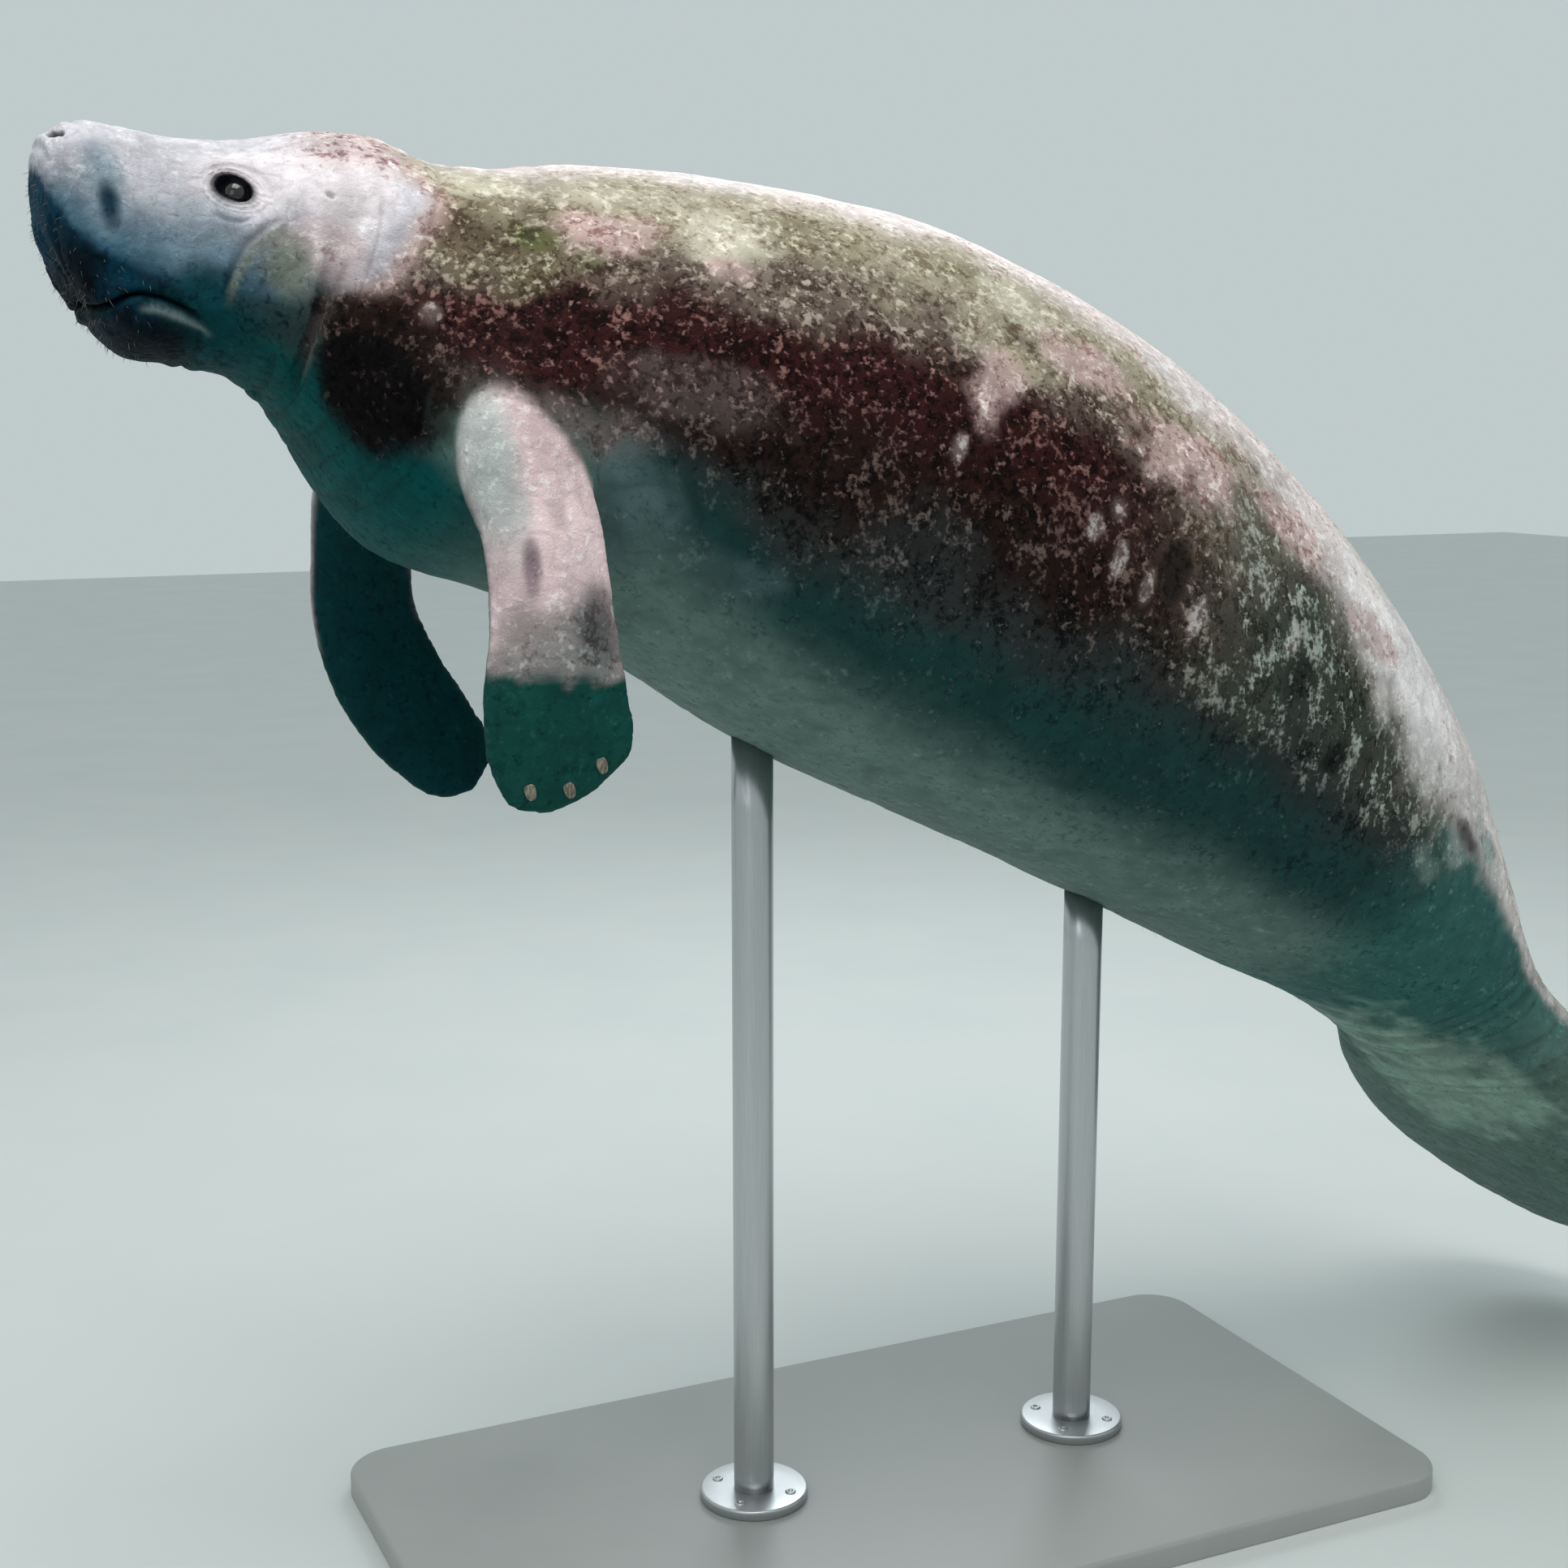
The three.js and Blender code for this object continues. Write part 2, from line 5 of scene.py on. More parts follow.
import bmesh
import bpy
import numpy as np
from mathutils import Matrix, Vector
from mathutils.bvhtree import BVHTree


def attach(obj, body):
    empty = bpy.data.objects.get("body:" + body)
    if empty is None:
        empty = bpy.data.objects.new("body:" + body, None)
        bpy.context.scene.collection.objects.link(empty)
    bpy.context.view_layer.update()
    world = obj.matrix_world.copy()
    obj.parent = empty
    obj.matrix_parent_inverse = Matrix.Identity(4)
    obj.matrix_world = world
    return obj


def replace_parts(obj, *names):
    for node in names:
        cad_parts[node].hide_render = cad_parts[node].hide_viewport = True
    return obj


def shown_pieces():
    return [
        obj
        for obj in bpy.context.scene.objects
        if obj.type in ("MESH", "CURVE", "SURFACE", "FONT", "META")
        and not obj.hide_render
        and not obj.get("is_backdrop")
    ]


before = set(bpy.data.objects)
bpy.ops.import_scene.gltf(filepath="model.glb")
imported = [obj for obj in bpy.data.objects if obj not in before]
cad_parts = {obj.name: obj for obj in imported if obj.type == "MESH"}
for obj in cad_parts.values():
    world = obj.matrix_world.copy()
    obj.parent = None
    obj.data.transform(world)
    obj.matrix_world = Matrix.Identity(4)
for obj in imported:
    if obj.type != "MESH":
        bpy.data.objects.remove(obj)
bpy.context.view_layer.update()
print("frame loaded")

mm = 0.001  # shapes are worked out in millimetres and written in metres


class Wire:  # a shader socket that Python arithmetic can use
    def __init__(self, tree, socket=None):
        self.tree = tree
        self.socket = socket

    def node(self, kind, settings=None, inputs=None, output=0):
        made = self.tree.nodes.new(kind)
        for name, value in (settings or {}).items():
            if name == "stops":
                fillRamp(made.color_ramp, value)
            else:
                setattr(made, name, value)
        for name, value in (inputs or {}).items():
            if isinstance(value, Wire):
                self.tree.links.new(value.socket, made.inputs[name])
            else:
                made.inputs[name].default_value = value
        return Wire(self.tree, made.outputs[output] if len(made.outputs) else None)

    def maths(self, operation, *values):
        return self.node("ShaderNodeMath", {"operation": operation}, dict(enumerate(values)))

    def __add__(self, other):
        return self.maths("ADD", self, other)

    def __sub__(self, other):
        return self.maths("SUBTRACT", self, other)

    def __rsub__(self, other):
        return self.maths("SUBTRACT", other, self)

    def __mul__(self, other):
        return self.maths("MULTIPLY", self, other)

    __radd__ = __add__
    __rmul__ = __mul__


def fillRamp(ramp, stops):
    while len(ramp.elements) > len(stops):
        ramp.elements.remove(ramp.elements[-1])
    while len(ramp.elements) < len(stops):
        ramp.elements.new(1)
    for element, (place, colour) in zip(ramp.elements, stops):
        element.position = place
        element.color = colour


def tone(red, green, blue):  # a colour as a screen shows it, 0 to 255, made linear
    return tuple(
        v / 12.92 if v <= 0.04045 else ((v + 0.055) / 1.055) ** 2.4
        for v in (red / 255, green / 255, blue / 255)
    ) + (1,)


def blend(mask, first, second):  # first where the mask is 0, second where it is 1
    settings = {"data_type": "RGBA", "clamp_factor": True}
    return mask.node("ShaderNodeMix", settings, {0: mask, 6: first, 7: second}, 2)


def tint(colour, other):  # one colour times another
    settings = {"data_type": "RGBA", "blend_type": "MULTIPLY"}
    return colour.node("ShaderNodeMix", settings, {0: 1.0, 6: colour, 7: other}, 2)


def step(value, low, high):  # 0 below low, 1 above high
    settings = {"interpolation_type": "SMOOTHSTEP"}
    inputs = {"Value": value, "From Min": low, "From Max": high}
    return value.node("ShaderNodeMapRange", settings, inputs)


def noise(start, scale, detail=2, roughness=0.5, warp=0, stretch=None):
    place = start.node("ShaderNodeTexCoord", output="Object")
    if stretch:
        settings = {"operation": "MULTIPLY"}
        place = place.node("ShaderNodeVectorMath", settings, {0: place, 1: stretch})
    inputs = {"Vector": place, "Scale": scale, "Detail": detail}
    inputs.update({"Roughness": roughness, "Distortion": warp})
    return start.node("ShaderNodeTexNoise", {}, inputs)


def field(start, name, output="Fac"):  # a value kept on the mesh's points
    return start.node("ShaderNodeAttribute", {"attribute_name": name}, output=output)


def colourField(start, name):
    return field(start, name, "Color")


def startMaterial(name):
    material = bpy.data.materials.new(name)
    material.use_nodes = True
    material.node_tree.nodes.clear()
    return material, Wire(material.node_tree)


def endMaterial(material, start, values):
    shader = start.node("ShaderNodeBsdfPrincipled", {}, values)
    start.node("ShaderNodeOutputMaterial", {}, {"Surface": shader})
    return material


def bumpOf(height, distance, strength=1.0):
    return height.node(
        "ShaderNodeBump", {}, {"Height": height, "Distance": distance, "Strength": strength}
    )


# Camera, floor and light

view = {
    "azimuth": -25, "pitch": 10, "distance": 2.5, "target": (-0.15, 0, 0.9), "lens": 50, "sensor": 36,
}


def makeCamera():
    azimuth, pitch = math.radians(view["azimuth"]), math.radians(view["pitch"])
    look = Vector((-math.sin(azimuth), math.cos(azimuth), 0)) * math.cos(pitch)
    look.z = -math.sin(pitch)
    data = bpy.data.cameras.new("camera")
    data.lens = view["lens"]
    data.sensor_width = view["sensor"]
    camera = bpy.data.objects.new("camera", data)
    camera.location = Vector(view["target"]) - look * view["distance"]
    camera.rotation_euler = look.to_track_quat("-Z", "Y").to_euler()
    bpy.context.scene.collection.objects.link(camera)
    bpy.context.scene.camera = camera


# Each lamp's place, the height it looks at over the middle, size, watts and tint.
lamps = {
    "above": ((-0.5, -0.7, 3.9), 1.0, 2.4, 66, (1, 0.99, 0.97)),
    "behind": ((1.5, 2.6, 3.0), 1.2, 1.6, 34, (0.9, 0.97, 1)),
    "front": ((-3.2, -3.0, 2.2), 1.0, 2.2, 14, (1, 1, 1)),
}
room = {
    "floorSize": 30,  # metres each way
    "floorTones": ((206, 211, 209), (216, 219, 216)),
    "worldTone": (0.7, 0.79, 0.8, 1),
    "worldStrength": 0.75,
}


def makeStage():
    world = bpy.data.worlds.new("studio")
    world.use_nodes = True
    background = world.node_tree.nodes["Background"]
    background.inputs["Color"].default_value = room["worldTone"]
    background.inputs["Strength"].default_value = room["worldStrength"]
    bpy.context.scene.world = world
    bpy.context.scene.view_settings.view_transform = "Standard"
    for name, (place, toward, size, watts, colour) in lamps.items():
        data = bpy.data.lights.new(name, "AREA")
        data.size = size
        data.energy = watts
        data.color = colour
        light = bpy.data.objects.new(name, data)
        light.location = place
        way = Vector((0, 0, toward)) - Vector(place)
        light.rotation_euler = way.to_track_quat("-Z", "Y").to_euler()
        bpy.context.scene.collection.objects.link(light)
    half = room["floorSize"] / 2
    corners = [(-half, -half, 0), (half, -half, 0), (half, half, 0), (-half, half, 0)]
    floor = newObject("floor", corners, [(0, 1, 2, 3)])
    material, start = startMaterial("floor")
    colour = blend(noise(start, 3, 3), *(tone(*t) for t in room["floorTones"]))
    floor.data.materials.append(endMaterial(material, start, {"Base Color": colour, "Roughness": 0.8}))
    floor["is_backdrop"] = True


def newObject(name, points, faces):
    mesh = bpy.data.meshes.new(name)
    mesh.from_pydata([tuple(p) for p in points], [], [tuple(f) for f in faces])
    mesh.update()
    mesh.shade_smooth()
    made = bpy.data.objects.new(name, mesh)
    bpy.context.scene.collection.objects.link(made)
    return made


makeCamera()
makeStage()
print("camera, floor and lamps set")


# The body's spine

# Sections from the snout to the tip of the paddle, in mm and degrees. Each has its middle's x
# and z, pitch, half height, half width, the exponent of its outline, how much wider its lower
# half is, and its roll.
sectionKeys = ("x", "z", "pitch", "half", "side", "square", "sag", "roll")
landmarks = {
    "snoutTip": (-940, 1531, 0, 5, 8, 2.2, 0, 0),
    "snoutFront": (-934, 1529, 0, 36, 48, 2.3, 0, 0),
    "snoutRim": (-920, 1522, 0, 62, 74, 2.4, 0, 0),
    "lips": (-898, 1508, 0, 85, 94, 2.5, 0.02, 0),
    "nostrils": (-858, 1488, 0, 106, 102, 2.4, 0.04, 0),
    "mouthCorner": (-805, 1477, 0, 109, 104, 2.3, 0.06, 0),
    "eyes": (-753, 1470, 3, 115, 120, 2.2, 0.08, 0),
    "cheeks": (-695, 1463, 15, 135, 142, 2.2, 0.1, 0),
    "neck": (-633, 1435, 28, 155, 172, 2.2, 0.1, 0),
    "shoulders": (-517, 1382, 30, 224, 226, 2.2, 0.1, 0),
    "chest": (-367, 1347, 26, 248, 268, 2.2, 0.1, 0),
    "midBody": (-85, 1236, 24, 304, 318, 2.2, 0.1, 0),
    "belly": (182, 1104, 29, 306, 325, 2.2, 0.1, 0),
    "loin": (425, 938, 35, 267, 290, 2.2, 0.05, 1),
    "hip": (607, 780, 42, 211, 240, 2.2, 0, 4),
    "tailRoot": (734, 646, 48, 146, 196, 2.1, 0, 8),
    "tailWaist": (825, 532, 51, 100, 172, 2, 0, 12),
    "paddleRoot": (903, 434, 49, 68, 226, 1.9, 0, 14),
    "paddleFlare": (998, 332, 46, 46, 264, 1.8, 0, 13),
    "paddleWide": (1095, 238, 44, 30, 266, 1.8, 0, 11),
    "paddleEnd": (1180, 160, 42, 19, 212, 1.8, 0, 10),
    "paddleCurve": (1220, 124, 42, 13, 146, 1.8, 0, 10),
    "paddleTip": (1238, 108, 42, 6, 60, 1.8, 0, 10),
}


def smoothCurve(knots, values):  # a smooth curve through values set at uneven knots
    knots = np.asarray(knots, float)
    values = np.asarray(values, float)
    span = np.diff(knots)
    slope = np.diff(values) / span
    tangent = np.empty(len(knots))
    tangent[1:-1] = (slope[:-1] * span[1:] + slope[1:] * span[:-1]) / (span[1:] + span[:-1])
    tangent[0] = 1.5 * slope[0] - 0.5 * tangent[1]
    tangent[-1] = 1.5 * slope[-1] - 0.5 * tangent[-2]

    def valueAt(t):
        i = np.clip(np.searchsorted(knots, t, "right") - 1, 0, len(span) - 1)
        u = (t - knots[i]) / span[i]
        climb = u * u * (3 - 2 * u)
        leave = u * (1 - u) ** 2 * span[i] * tangent[i]
        arrive = -u * u * (1 - u) * span[i] * tangent[i + 1]
        return values[i] + climb * (values[i + 1] - values[i]) + leave + arrive

    return valueAt


def curvesThrough(rows, keys, spatial):  # one curve per key, measured along the spatial keys
    rows = np.array(rows, float)
    places = rows[:, [keys.index(k) for k in spatial]]
    knots = np.concatenate([[0], np.cumsum(np.linalg.norm(np.diff(places, axis=0), axis=1))])
    return {key: smoothCurve(knots, rows[:, i]) for i, key in enumerate(keys)}, knots


spine, spineKnots = curvesThrough(list(landmarks.values()), sectionKeys, ("x", "z"))
spineEnd = spineKnots[-1]


def ramp(value, low, high):  # 0 at low, 1 at high, smooth between
    t = np.clip((value - low) / (high - low), 0, 1)
    return t * t * (3 - 2 * t)


def signedPower(value, power):
    return np.sign(value) * np.abs(value) ** power


# Soft forms of the head, one on each side: how far behind the snout's tip and how many degrees
# down from the top its middle lies, how long and wide it is, how far it rises and pushes forward.
headForms = {
    "nosePad": (40, 30, 26, 26, 3, 0),
    "nostrilDip": (20, 0, 22, 12, -3, 0),
    "upperLip": (44, 124, 24, 24, 11, 7),
    "lipCleft": (26, 180, 26, 16, -10, -6),
    "mouthHollow": (96, 113, 36, 8, -7, 0),
    "lowerLip": (98, 138, 26, 14, 6, 3),
    "chin": (84, 180, 30, 36, 6, 3),
    "muzzleDent": (64, 84, 15, 11, -6, 0),
    "snoutBridge": (120, 0, 40, 30, -3, 0),
    "brow": (178, 46, 26, 10, 4, 0),
    "eyeHollow": (160, 66, 12, 12, -3, 0),
    "eyeBag": (184, 76, 22, 7, 3, 0),
    "jowl": (212, 118, 34, 24, 8, 0),
    "foldHollow": (176, 104, 9, 22, -4, 0),
    "neckFold": (268, 112, 10, 40, -6, 0),
    "nape": (292, 0, 26, 50, 6, 0),
}
formsFade = 34


def foldedDown(turn):  # degrees down from the top, alike on both sides
    down = np.abs(90 - np.degrees(turn)) % 360
    return np.where(down > 180, 360 - down, down)


def formsAt(along, turn):
    down = foldedDown(turn)
    fade = ramp(along, 0, formsFade)
    rise = np.zeros_like(fade)
    push = np.zeros_like(fade)
    for past, fold, length, width, up, forward in headForms.values():
        share = fade * np.exp(-((along - past) / length) ** 2 - ((down - fold) / width) ** 2)
        rise += share * up
        push += share * forward
    return rise, push


def skinPoint(along, turn):
    along, turn = np.broadcast_arrays(np.asarray(along, float), np.asarray(turn, float))
    rise, push = formsAt(along, turn)
    at = {key: curve(along) for key, curve in spine.items()}
    power = 2 / at["square"]
    up = signedPower(np.sin(turn), power)
    flatY = (at["side"] + rise) * signedPower(np.cos(turn), power) * (1 - at["sag"] * up)
    flatZ = (at["half"] + rise) * up
    roll = np.radians(at["roll"])
    pitch = np.radians(at["pitch"])
    y = flatY * np.cos(roll) + flatZ * np.sin(roll)
    height = flatZ * np.cos(roll) - flatY * np.sin(roll)
    x = at["x"] + height * np.sin(pitch) - push * np.cos(pitch)
    z = at["z"] + height * np.cos(pitch) + push * np.sin(pitch)
    return np.stack([x, y, z], -1)


search = {"table": 3.0, "rounds": 16, "step": 0.75}


def locate(points):  # the inverse: distance along the spine and turn about it
    table = np.arange(0, spineEnd + 1, search["table"])
    along = np.interp(points[:, 0], spine["x"](table), table)
    turn = np.full(len(points), math.pi / 2)
    for _ in range(search["rounds"]):
        rise, push = formsAt(along, turn)
        at = {key: curve(along) for key, curve in spine.items()}
        pitch = np.radians(at["pitch"])
        roll = np.radians(at["roll"])
        x = points[:, 0] - at["x"] + push * np.cos(pitch)
        z = points[:, 2] - at["z"] - push * np.sin(pitch)
        off = x * np.cos(pitch) - z * np.sin(pitch)
        height = x * np.sin(pitch) + z * np.cos(pitch)
        across = points[:, 1] * np.cos(roll) - height * np.sin(roll)
        up = (height * np.cos(roll) + points[:, 1] * np.sin(roll)) / (at["half"] + rise)
        across = across / ((at["side"] + rise) * (1 - at["sag"] * np.clip(up, -1, 1)))
        square = at["square"]
        turn = np.arctan2(signedPower(up, square / 2), signedPower(across, square / 2))
        along = np.clip(along + search["step"] * off, 0, spineEnd)
    return along, turn


def gridFaces(rings, sides):  # quads between closed rings of points, with a fan on each end
    faces = []
    for r, i in product(range(rings - 1), range(sides)):
        a, b = r * sides + i, r * sides + (i + 1) % sides
        faces.append((a, a + sides, b + sides, b))
    first, last = rings * sides, rings * sides + 1
    for i in range(sides):
        j = (i + 1) % sides
        faces.append((first, i, j))
        faces.append((last, (rings - 1) * sides + j, (rings - 1) * sides + i))
    return faces


def closedGrid(grid):  # a closed surface from an array of rings
    ends = np.stack([grid[0].mean(0), grid[-1].mean(0)])
    points = np.concatenate([grid.reshape(-1, 3), ends])
    return points, gridFaces(grid.shape[0], grid.shape[1])


# The flippers

# Sections from the shoulder to the tip, in mm: the middle's x, y and z, half the chord and
# half the thickness.
flipperKeys = ("x", "y", "z", "chord", "thick")
flippers = {
    "left": {
        "shoulder": (-525, -170, 1345, 74, 62),
        "root": (-530, -240, 1272, 68, 48),
        "elbow": (-527, -283, 1200, 60, 34),
        "wrist": (-528, -305, 1125, 63, 26),
        "palm": (-529, -312, 1050, 74, 20),
        "fingers": (-523, -312, 1000, 73, 15),
        "fingerEnds": (-515, -311, 972, 56, 10),
        "tip": (-510, -310, 960, 26, 5),
    },
    "right": {
        "shoulder": (-545, 170, 1345, 74, 62),
        "root": (-555, 236, 1262, 68, 48),
        "elbow": (-564, 268, 1172, 60, 34),
        "wrist": (-560, 280, 1090, 62, 26),
        "palm": (-532, 275, 1008, 68, 20),
        "fingers": (-484, 262, 938, 62, 15),
        "fingerEnds": (-447, 254, 900, 44, 10),
        "tip": (-432, 250, 888, 20, 5),
    },
}
edgeTaper = 0.35  # how much thinner the rear edge is
wayStep = 3  # mm either side, to find the way along
sideOf = {"left": -1, "right": 1}


def flipperFrames(name, places):  # middle, way along, chord way, thick way and half sizes
    curves, knots = curvesThrough(list(flippers[name].values()), flipperKeys, ("x", "y", "z"))
    end = knots[-1]

    def middle(t):
        return np.stack([curves[k](t) for k in ("x", "y", "z")], -1)

    way = middle(np.minimum(places + wayStep, end)) - middle(np.maximum(places - wayStep, 0))
    way /= np.linalg.norm(way, axis=-1, keepdims=True)
    chordWay = np.array([1.0, 0, 0]) - way * way[..., :1]
    chordWay /= np.linalg.norm(chordWay, axis=-1, keepdims=True)
    return SimpleNamespace(
        centre=middle(places),
        way=way,
        chordWay=chordWay,
        thickWay=np.cross(way, chordWay),
        chord=curves["chord"](places)[..., None],
        thick=curves["thick"](places)[..., None],
    )


def flipperPoint(at, turn):
    across = np.cos(turn)
    taper = 1 - edgeTaper * across
    return at.centre + at.chordWay * at.chord * across + at.thickWay * at.thick * np.sin(turn) * taper


def flipperLength(name):
    rows = np.array(list(flippers[name].values()), float)[:, :3]
    return float(np.linalg.norm(np.diff(rows, axis=0), axis=1).sum())


# The skin: one closed surface over the body and both flippers

skinMaking = {
    "bodyStep": 7,  # mm between the rings of the plain body
    "bodySides": 176,
    "flipperStep": 6,
    "flipperSides": 56,
    "voxel": 5.0,
    "fillet": 46,  # how far from the crease the flippers' roots are smoothed
    "filletCore": 0.25,  # the share of that which is smoothed in full
    "filletTurns": 70,
    "limbTurns": 3,
    "pull": 0.5,  # how far a point moves toward its neighbours in a turn
    "farOff": 400,  # mm, past every distance that matters
    "frontEnd": (1, 4),  # the ends keep the joined mesh's own shape
    "rearEnd": (8, 3),
    "headEnd": 345,  # the head is twice as fine up to here
    "limbBox": (-400, 190, 1290),  # and the flippers past this x and y and under this z
}


def plainSolids():
    count = int(spineEnd / skinMaking["bodyStep"])
    along = np.linspace(0, spineEnd, count)[:, None]
    turn = np.linspace(0, 2 * math.pi, skinMaking["bodySides"], endpoint=False)[None, :]
    solids = {"body": closedGrid(skinPoint(along, turn))}
    for name in flippers:
        count = int(flipperLength(name) / skinMaking["flipperStep"])
        frames = flipperFrames(name, np.linspace(0, flipperLength(name), count)[:, None])
        turns = np.linspace(0, 2 * math.pi, skinMaking["flipperSides"], endpoint=False)[None, :, None]
        solids[name] = closedGrid(flipperPoint(frames, turns))
    return solids


def readPoints(mesh):
    flat = np.empty(len(mesh.vertices) * 3)
    mesh.vertices.foreach_get("co", flat)
    return flat.reshape(-1, 3) / mm


def writePoints(mesh, points):
    mesh.vertices.foreach_set("co", (points * mm).ravel())
    mesh.update()


def readNormals(mesh):
    flat = np.empty(len(mesh.vertices) * 3)
    mesh.vertex_normals.foreach_get("vector", flat)
    return flat.reshape(-1, 3)


def readEdges(mesh):
    flat = np.empty(len(mesh.edges) * 2, np.int64)
    mesh.edges.foreach_get("vertices", flat)
    return flat.reshape(-1, 2)


def smoothed(points, edges, share, turns):  # pulls points toward their neighbours
    near = np.unique(edges[(share[edges] > 0).any(1)])
    order = np.full(len(points), -1)
    order[near] = np.arange(len(near))
    inner = edges[(order[edges] >= 0).all(1)]
    a, b = order[inner].T
    count = np.bincount(a, minlength=len(near)) + np.bincount(b, minlength=len(near))
    moving = points[near].copy()
    pull = (share[near] * skinMaking["pull"])[:, None]
    for _ in range(turns):
        total = np.empty_like(moving)
        for k in range(3):
            total[:, k] = np.bincount(a, moving[b, k], len(near)) + np.bincount(b, moving[a, k], len(near))
        moving += pull * (total / np.maximum(count, 1)[:, None] - moving)
    done = points.copy()
    done[near] = moving
    return done


def distancesTo(points, solid, reach):  # how far points are from a solid's surface, up to a reach
    shape = BVHTree.FromPolygons([tuple(p) for p in solid[0]], solid[1])
    low, high = solid[0].min(0) - reach, solid[0].max(0) + reach
    close = np.flatnonzero(((points > low) & (points < high)).all(1))
    far = np.full(len(points), float(reach))
    for i in close:
        found = shape.find_nearest(points[i], reach)
        if found[0] is not None:
            far[i] = found[3]
    return far


def subdivideWhere(mesh, chosen):
    form = bmesh.new()
    form.from_mesh(mesh)
    flags = chosen.tolist()
    edges = [e for e in form.edges if flags[e.verts[0].index] and flags[e.verts[1].index]]
    bmesh.ops.subdivide_edges(form, edges=edges, cuts=1, use_grid_fill=True)
    form.to_mesh(mesh)
    form.free()


def joinedMesh(solids):
    points, faces, start = [], [], 0
    for solidPoints, solidFaces in solids.values():
        points.append(solidPoints * mm)
        faces += [tuple(i + start for i in face) for face in solidFaces]
        start += len(solidPoints)
    rough = newObject("rough", np.concatenate(points), faces)
    remesh = rough.modifiers.new("join", "REMESH")
    remesh.mode = "VOXEL"
    remesh.voxel_size = skinMaking["voxel"] * mm
    graph = bpy.context.evaluated_depsgraph_get()
    mesh = bpy.data.meshes.new_from_object(rough.evaluated_get(graph))
    bpy.data.objects.remove(rough)
    return mesh


def settle(mesh, solids):
    # Puts the points of the body back on their exact surface, and rounds the flippers' roots.
    points = readPoints(mesh)
    edges = readEdges(mesh)
    fillet = skinMaking["fillet"]
    reach = 2.0 * fillet
    far = {name: distancesTo(points, solids[name], reach) for name in flippers}
    toFlipper = np.minimum(far["left"], far["right"])
    near = np.flatnonzero(toFlipper < reach)
    toBody = np.zeros(len(points))
    toBody[near] = distancesTo(points[near], solids["body"], skinMaking["farOff"])
    crease = 1 - ramp(toFlipper + toBody, skinMaking["filletCore"] * fillet, fillet)
    points = smoothed(points, edges, crease, skinMaking["filletTurns"])
    onFlipper = toBody > toFlipper
    points = smoothed(points, edges, np.where(onFlipper, 1.0, 0.0), skinMaking["limbTurns"])
    along, turn = locate(points)
    exact = skinPoint(along, turn)
    hold = np.where(onFlipper, 0.0, 1 - crease) * ramp(along, *skinMaking["frontEnd"])
    hold *= 1 - ramp(along, *(spineEnd - back for back in skinMaking["rearEnd"]))
    points += (exact - points) * hold[:, None]
    writePoints(mesh, points)


def plainSkin():
    solids = plainSolids()
    mesh = joinedMesh(solids)
    print("skin joined,", len(mesh.polygons), "faces")
    settle(mesh, solids)
    points = readPoints(mesh)
    along, _ = locate(points)
    x, y, z = points.T
    boxX, boxY, boxZ = skinMaking["limbBox"]
    inBox = (x < boxX) & (np.abs(y) > boxY) & (z < boxZ)
    subdivideWhere(mesh, (along < skinMaking["headEnd"]) | inBox)
    settle(mesh, solids)
    print("head refined,", len(mesh.polygons), "faces")
    points = readPoints(mesh)
    fine = np.zeros(len(points), bool)
    for side in (-1, 1):
        fine |= np.linalg.norm(points - eyeFrame(side).point, axis=1) < eye["fineReach"]
        for name, reach in fineReach.items():
            fine |= pathDistance(points, lines[name][0], side)[0] < reach
    subdivideWhere(mesh, fine)
    settle(mesh, solids)
    print("eyes and mouth refined,", len(mesh.polygons), "faces")
    return mesh, solids


# Features of the head

eye = {
    "past": 185, "down": 62, "radius": 13, "depth": 9.5,
    "long": 12.5, "tall": 8.6, "slant": 24, "lidRise": 2.6, "fineReach": 42,
}


frameStep = {"past": 2, "turn": 0.02}  # mm and radians, to find the ways along the skin


def skinFrame(past, down, side):  # a point of the skin, with the ways back, down and out
    turn = math.radians(90 - side * down)
    point = skinPoint(past, turn)
    back = skinPoint(past + frameStep["past"], turn) - skinPoint(past - frameStep["past"], turn)
    back /= np.linalg.norm(back)
    lower = skinPoint(past, turn - side * frameStep["turn"]) - point
    lower -= back * (lower @ back)
    lower /= np.linalg.norm(lower)
    out = np.cross(back, lower) * side
    return SimpleNamespace(point=point, back=back, down=lower, out=out / np.linalg.norm(out))


def eyeFrame(side):  # turned by the slant, so that back and down follow the lids
    at = skinFrame(eye["past"], eye["down"], side)
    tilt = math.radians(eye["slant"])
    back = at.back * math.cos(tilt) + at.down * math.sin(tilt)
    down = at.down * math.cos(tilt) - at.back * math.sin(tilt)
    return SimpleNamespace(point=at.point, back=back, down=down, out=at.out)


